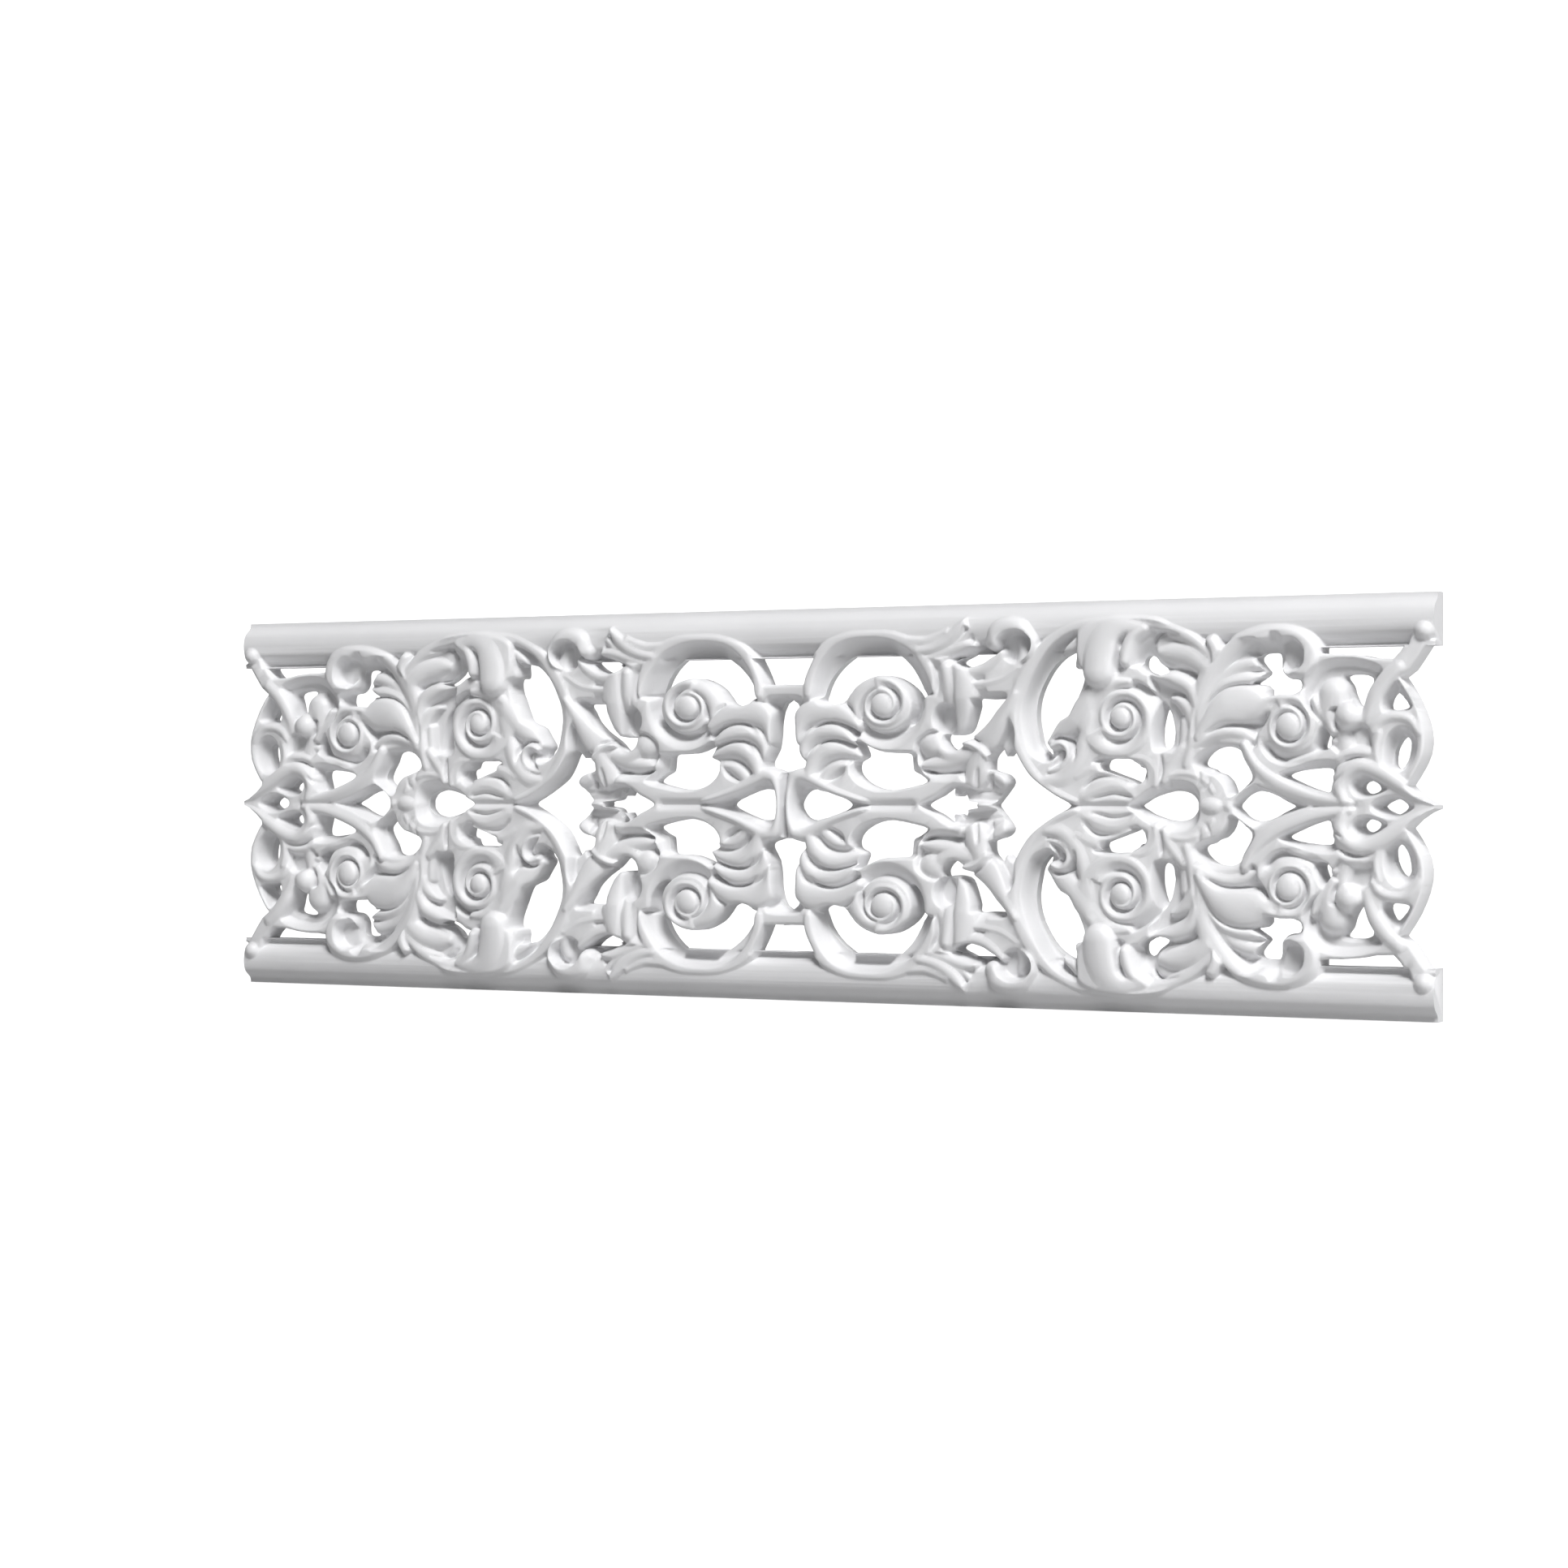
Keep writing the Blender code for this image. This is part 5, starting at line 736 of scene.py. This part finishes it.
def cut_triangles(triangles, value, spots):
    """The triangles on material, and those on an outline cut along it."""
    signs = np.sign(value)[triangles]
    faces = triangles[(signs >= 0).all(1) & (signs > 0).any(1)]
    mixed = triangles[(signs > 0).any(1) & (signs < 0).any(1)]
    extra, made, added = [], {}, []

    def between(i, j):
        key = (min(i, j), max(i, j))
        if key not in made:
            t = value[i] / (value[i] - value[j])
            made[key] = len(spots) + len(added)
            added.append(spots[i] * (1 - t) + spots[j] * t)
        return made[key]

    for corners in mixed:
        ring = []
        for k in range(3):
            i, j = corners[k], corners[(k + 1) % 3]
            if value[i] >= 0:
                ring.append(i)
            if value[i] * value[j] < 0:
                ring.append(between(i, j))
        extra.extend((ring[0], ring[k], ring[k + 1]) for k in range(1, len(ring) - 1))
    return np.vstack([spots, np.array(added)]), np.vstack([faces, np.array(extra)])


def border_edges(faces):
    """Edges used by one face only, in that face's direction."""
    edges = np.vstack([faces[:, [0, 1]], faces[:, [1, 2]], faces[:, [2, 0]]])
    low, high = edges.min(1), edges.max(1)
    key = low.astype(np.int64) * (faces.max() + 1) + high
    _, first, count = np.unique(key, return_index=True, return_counts=True)
    return edges[first[count == 1]]


def closed_casting(spots, faces):
    """Front face, straight sides down to the wall and a flat back, as one mesh."""
    used = np.unique(faces)
    renumber = np.zeros(len(spots), int)
    renumber[used] = np.arange(len(used))
    faces = renumber[faces]
    front = to_size(*spots[used].T)
    count = len(front)
    back = front * np.array([1, 0, 1])
    border = border_edges(faces)
    a, b = border[:, 0], border[:, 1]
    sides = np.vstack([np.stack([b, a, a + count], 1), np.stack([b, a + count, b + count], 1)])
    mesh = bpy.data.meshes.new("casting")
    everything = np.vstack([faces, sides, faces[:, ::-1] + count])
    mesh.from_pydata(np.vstack([front, back]).tolist(), [], everything.tolist())
    inner = np.setdiff1d(np.arange(count), np.unique(border))
    return mesh, inner.tolist()


def casting_object(settings):
    """The whole casting, relaxed a little where cuts are steep, then with fewer faces."""
    relief = Relief(settings.grid / UNIT)
    carve(relief)
    keep = whole(np.maximum(relief.open, relief.V - (DRAWN_HEIGHT - DRAWN_RAIL)))
    rows, columns = keep.shape
    triangles = grid_triangles(rows, columns)
    value = settle(keep.ravel().copy(), triangles)
    u, v = np.meshgrid(np.arange(columns) - (columns - 1) / 2, np.arange(rows) - (rows - 1) / 2)
    spots = np.stack([u.ravel() * relief.grid, v.ravel() * relief.grid, whole(relief.H).ravel()], 1)
    mesh, inner = closed_casting(*cut_triangles(triangles, value, spots))
    casting = bpy.data.objects.new("casting", mesh)
    bpy.context.scene.collection.objects.link(casting)
    group = casting.vertex_groups.new(name="carved face")
    group.add(inner, 1.0, "REPLACE")
    relax = casting.modifiers.new("relax steep cuts", "SMOOTH")
    relax.vertex_group = "carved face"
    relax.factor = RELAX_FACTOR
    relax.iterations = RELAX_PASSES
    fewer = casting.modifiers.new("fewer faces", "DECIMATE")
    fewer.ratio = min(1.0, settings.faces / len(mesh.polygons))
    evaluated = casting.evaluated_get(bpy.context.evaluated_depsgraph_get())
    result = bpy.data.meshes.new_from_object(evaluated)
    bpy.data.objects.remove(casting, do_unlink=True)
    return result


def straighten(mesh):
    """Corners next to the wall plane, the ends and the long edges are put exactly on them."""
    count = len(mesh.vertices)
    co = np.empty(count * 3, np.float32)
    mesh.vertices.foreach_get("co", co)
    co = co.reshape(-1, 3)
    co[co[:, 1] > -NEAR_PLANE, 1] = 0
    for axis, reach in ((0, LENGTH / 2), (2, HEIGHT / 2)):
        close = reach - np.abs(co[:, axis]) < NEAR_PLANE
        co[close, axis] = np.sign(co[close, axis]) * reach
    mesh.vertices.foreach_set("co", co.ravel())
    mesh.update()


def surface_group():
    """Fine grain, brushed paint and soft mottling of a painted plaster casting."""
    name = "plaster surface"
    if name in bpy.data.node_groups:
        return bpy.data.node_groups[name]
    tree = bpy.data.node_groups.new(name, "ShaderNodeTree")
    sockets = [("Light Colour", "NodeSocketColor", "INPUT"), ("Shade Colour", "NodeSocketColor", "INPUT"),
               ("Mottle Scale", "NodeSocketFloat", "INPUT"), ("Grain Scale", "NodeSocketFloat", "INPUT"),
               ("Smooth", "NodeSocketFloat", "INPUT"), ("Rough", "NodeSocketFloat", "INPUT"),
               ("Colour", "NodeSocketColor", "OUTPUT"), ("Roughness", "NodeSocketFloat", "OUTPUT"),
               ("Height", "NodeSocketFloat", "OUTPUT")]
    for label, kind, way in sockets:
        tree.interface.new_socket(name=label, in_out=way, socket_type=kind)
    nodes, links = tree.nodes, tree.links
    given, out = nodes.new("NodeGroupInput"), nodes.new("NodeGroupOutput")
    place = nodes.new("ShaderNodeTexCoord")
    mottle = nodes.new("ShaderNodeTexNoise")
    mottle.inputs["Detail"].default_value = 4
    mottle.inputs["Roughness"].default_value = 0.55
    grain = nodes.new("ShaderNodeTexNoise")
    grain.inputs["Detail"].default_value = 3
    brush = nodes.new("ShaderNodeTexNoise")
    brush.inputs["Detail"].default_value = 2
    stretch = nodes.new("ShaderNodeMapping")
    stretch.inputs["Scale"].default_value = (0.25, 1, 1)
    for source, target in ((place.outputs["Object"], mottle.inputs["Vector"]),
                           (place.outputs["Object"], grain.inputs["Vector"]),
                           (place.outputs["Object"], stretch.inputs["Vector"]),
                           (stretch.outputs["Vector"], brush.inputs["Vector"]),
                           (given.outputs["Mottle Scale"], mottle.inputs["Scale"]),
                           (given.outputs["Grain Scale"], grain.inputs["Scale"]),
                           (given.outputs["Grain Scale"], brush.inputs["Scale"])):
        links.new(source, target)
    tone = nodes.new("ShaderNodeMapRange")
    tone.inputs["From Min"].default_value = 0.35
    tone.inputs["From Max"].default_value = 0.65
    links.new(mottle.outputs["Fac"], tone.inputs["Value"])
    colour = nodes.new("ShaderNodeMix")
    colour.data_type = "RGBA"
    links.new(tone.outputs["Result"], colour.inputs["Factor"])
    links.new(given.outputs["Shade Colour"], colour.inputs["A"])
    links.new(given.outputs["Light Colour"], colour.inputs["B"])
    rough = nodes.new("ShaderNodeMapRange")
    links.new(grain.outputs["Fac"], rough.inputs["Value"])
    links.new(given.outputs["Smooth"], rough.inputs["To Min"])
    links.new(given.outputs["Rough"], rough.inputs["To Max"])
    rough.inputs["From Min"].default_value = 0.3
    rough.inputs["From Max"].default_value = 0.7
    height = nodes.new("ShaderNodeMath")
    height.operation = "MULTIPLY_ADD"
    height.inputs[1].default_value = 0.6
    links.new(brush.outputs["Fac"], height.inputs[0])
    links.new(grain.outputs["Fac"], height.inputs[2])
    links.new(colour.outputs["Result"], out.inputs["Colour"])
    links.new(rough.outputs["Result"], out.inputs["Roughness"])
    links.new(height.outputs["Value"], out.inputs["Height"])
    return tree


def plaster(settings):
    """Clean white plaster with a smooth matt coat."""
    material = bpy.data.materials.new("white plaster")
    material.use_nodes = True
    nodes, links = material.node_tree.nodes, material.node_tree.links
    shader = nodes["Principled BSDF"]
    group = nodes.new("ShaderNodeGroup")
    group.node_tree = surface_group()
    group.inputs["Light Colour"].default_value = (*settings.light_colour, 1)
    group.inputs["Shade Colour"].default_value = (*settings.shade_colour, 1)
    group.inputs["Mottle Scale"].default_value = 14
    group.inputs["Grain Scale"].default_value = 420
    group.inputs["Smooth"].default_value = 0.42
    group.inputs["Rough"].default_value = 0.58
    bump = nodes.new("ShaderNodeBump")
    bump.inputs["Strength"].default_value = 0.12
    bump.inputs["Distance"].default_value = 0.0004
    links.new(group.outputs["Height"], bump.inputs["Height"])
    links.new(bump.outputs["Normal"], shader.inputs["Normal"])
    links.new(group.outputs["Colour"], shader.inputs["Base Color"])
    links.new(group.outputs["Roughness"], shader.inputs["Roughness"])
    return material


def floor_paint(settings):
    """White studio paint that the camera sees bright, and that throws back only soft light."""
    material = bpy.data.materials.new("studio paint")
    material.use_nodes = True
    nodes, links = material.node_tree.nodes, material.node_tree.links
    shader = nodes["Principled BSDF"]
    shader.inputs["Roughness"].default_value = 0.9
    noise = nodes.new("ShaderNodeTexNoise")
    noise.inputs["Scale"].default_value = 3
    mix = nodes.new("ShaderNodeMix")
    mix.data_type = "RGBA"
    mix.inputs["A"].default_value = (*[c * 0.97 for c in settings.floor_colour], 1)
    mix.inputs["B"].default_value = (*settings.floor_colour, 1)
    links.new(noise.outputs["Fac"], mix.inputs["Factor"])
    links.new(mix.outputs["Result"], shader.inputs["Base Color"])
    path = nodes.new("ShaderNodeLightPath")
    glow = nodes.new("ShaderNodeMath")
    glow.operation = "MULTIPLY"
    glow.inputs[1].default_value = settings.floor_glow
    links.new(path.outputs["Is Camera Ray"], glow.inputs[0])
    shader.inputs["Emission Color"].default_value = (1, 1, 1, 1)
    links.new(glow.outputs["Value"], shader.inputs["Emission Strength"])
    return material


def lamp(name, size, place, power):
    """Square area light that looks at the middle of the frieze."""
    data = bpy.data.lights.new(name, "AREA")
    data.shape = "RECTANGLE"
    data.size = data.size_y = size
    data.energy = power
    light = bpy.data.objects.new(name, data)
    light.location = place
    light.rotation_euler = (-Vector(place)).to_track_quat("-Z", "Y").to_euler()
    bpy.context.scene.collection.objects.link(light)


def floor_mesh(turn):
    """Floor that bends up into a backdrop, square to the camera."""
    profile = [(-FLOOR_FRONT, 0.0), (FLOOR_BACK, 0.0)]
    for k in range(1, 13):
        angle = math.radians(90 * k / 12)
        profile.append((FLOOR_BACK + BEND * math.sin(angle), BEND * (1 - math.cos(angle))))
    profile.append((FLOOR_BACK + BEND, BACKDROP_TOP))
    bm = bmesh.new()
    rows = []
    for away, up in profile:
        row = []
        for side in (-FLOOR_SIDE, FLOOR_SIDE):
            x = -math.sin(turn) * away + math.cos(turn) * side
            y = math.cos(turn) * away + math.sin(turn) * side
            row.append(bm.verts.new((x, y, up - HEIGHT / 2 - FLOOR_GAP)))
        rows.append(row)
    for low, high in zip(rows, rows[1:]):
        bm.faces.new([low[0], low[1], high[1], high[0]])
    mesh = bpy.data.meshes.new("studio_floor")
    bm.to_mesh(mesh)
    bm.free()
    mesh.shade_smooth()
    return mesh


class FriezeSettings(bpy.types.PropertyGroup):
    grid: bpy.props.FloatProperty(
        name="Carving step", description="Distance between two samples of the carving",
        default=0.0006, min=0.0004, max=0.004, unit="LENGTH")
    faces: bpy.props.IntProperty(
        name="Faces", description="Faces kept on the casting", default=180000, min=9000, max=195000)
    light_colour: bpy.props.FloatVectorProperty(
        name="Plaster", description="Main colour of the casting", default=(0.77, 0.77, 0.782),
        min=0, max=1, subtype="COLOR")
    shade_colour: bpy.props.FloatVectorProperty(
        name="Plaster mottling", description="Colour of the faint darker clouds in the plaster",
        default=(0.74, 0.74, 0.752), min=0, max=1, subtype="COLOR")


class StudioSettings(bpy.types.PropertyGroup):
    floor_colour: bpy.props.FloatVectorProperty(
        name="Floor", description="Colour of the floor and the backdrop", default=(0.48, 0.48, 0.48),
        min=0, max=1, subtype="COLOR")
    floor_glow: bpy.props.FloatProperty(
        name="Floor glow", description="Extra brightness of the floor and backdrop in the camera",
        default=0.9, min=0)
    key_power: bpy.props.FloatProperty(
        name="Key light", description="Power of the light above and to the right", default=368, min=0,
        unit="POWER")
    fill_power: bpy.props.FloatProperty(
        name="Fill light", description="Power of the low light beyond the right end", default=84, min=0,
        unit="POWER")
    back_power: bpy.props.FloatProperty(
        name="Back light", description="Power of the light behind the casting", default=16, min=0,
        unit="POWER")
    sky: bpy.props.FloatProperty(
        name="Surround", description="Brightness of the even light all round", default=0.05, min=0)


class FRIEZE_OT_casting(bpy.types.Operator):
    """Make the carved plaster casting"""
    bl_idname = "frieze.casting"
    bl_label = "Casting"
    bl_options = {"REGISTER", "UNDO"}

    def execute(self, context):
        settings = context.scene.frieze
        mesh = casting_object(settings)
        straighten(mesh)
        mesh.name = "frieze_casting"
        mesh.materials.append(plaster(settings))
        casting = bpy.data.objects.new("frieze_casting", mesh)
        context.scene.collection.objects.link(casting)
        mesh.shade_smooth()
        mesh.set_sharp_from_angle(angle=math.radians(SHARP_ANGLE))
        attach(casting, "root")
        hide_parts("frieze")
        print("casting faces", len(mesh.polygons))
        return {"FINISHED"}


class FRIEZE_OT_studio(bpy.types.Operator):
    """Make the pale floor, the lights and the camera"""
    bl_idname = "frieze.studio"
    bl_label = "Studio"
    bl_options = {"REGISTER", "UNDO"}

    def execute(self, context):
        settings = context.scene.frieze_studio
        turn = math.radians(CAMERA_TURN)
        floor = bpy.data.objects.new("studio_floor", floor_mesh(turn))
        floor.data.materials.append(floor_paint(settings))
        context.scene.collection.objects.link(floor)

        lamp("key_light", size=1.9, place=(2.4, -3.0, 4.6), power=settings.key_power)
        lamp("fill_light", size=1.8, place=(5.0, -0.8, 0.5), power=settings.fill_power)
        lamp("back_light", size=0.8, place=(0.4, 1.5, 2.2), power=settings.back_power)
        world = bpy.data.worlds.new("studio")
        world.use_nodes = True
        world.node_tree.nodes["Background"].inputs["Strength"].default_value = settings.sky
        world.node_tree.nodes["Background"].inputs["Color"].default_value = (1, 1, 1, 1)
        context.scene.world = world
        context.scene.view_settings.view_transform = "Standard"

        data = bpy.data.cameras.new("camera")
        data.lens = CAMERA_LENS
        data.sensor_width = 36
        camera = bpy.data.objects.new("camera", data)
        camera.location = CAMERA_PLACE
        camera.rotation_euler = (math.pi / 2, 0, turn)
        context.scene.collection.objects.link(camera)
        context.scene.camera = camera
        return {"FINISHED"}


class FRIEZE_PT_panel(bpy.types.Panel):
    bl_label = "Acanthus frieze"
    bl_idname = "FRIEZE_PT_panel"
    bl_space_type = "VIEW_3D"
    bl_region_type = "UI"
    bl_category = "Frieze"

    def draw(self, context):
        casting = context.scene.frieze
        for name in ("grid", "faces", "light_colour", "shade_colour"):
            self.layout.prop(casting, name)
        self.layout.operator("frieze.casting")
        studio = context.scene.frieze_studio
        for name in ("floor_colour", "floor_glow", "key_power", "fill_power", "back_power", "sky"):
            self.layout.prop(studio, name)
        self.layout.operator("frieze.studio")


CLASSES = (FriezeSettings, StudioSettings, FRIEZE_OT_casting, FRIEZE_OT_studio, FRIEZE_PT_panel)


def register():
    for item in CLASSES:
        bpy.utils.register_class(item)
    bpy.types.Scene.frieze = bpy.props.PointerProperty(type=FriezeSettings)
    bpy.types.Scene.frieze_studio = bpy.props.PointerProperty(type=StudioSettings)


def unregister():
    del bpy.types.Scene.frieze_studio
    del bpy.types.Scene.frieze
    for item in reversed(CLASSES):
        bpy.utils.unregister_class(item)


def main():
    register()
    bpy.ops.frieze.casting()
    bpy.ops.frieze.studio()


if __name__ == "__main__":
    main()
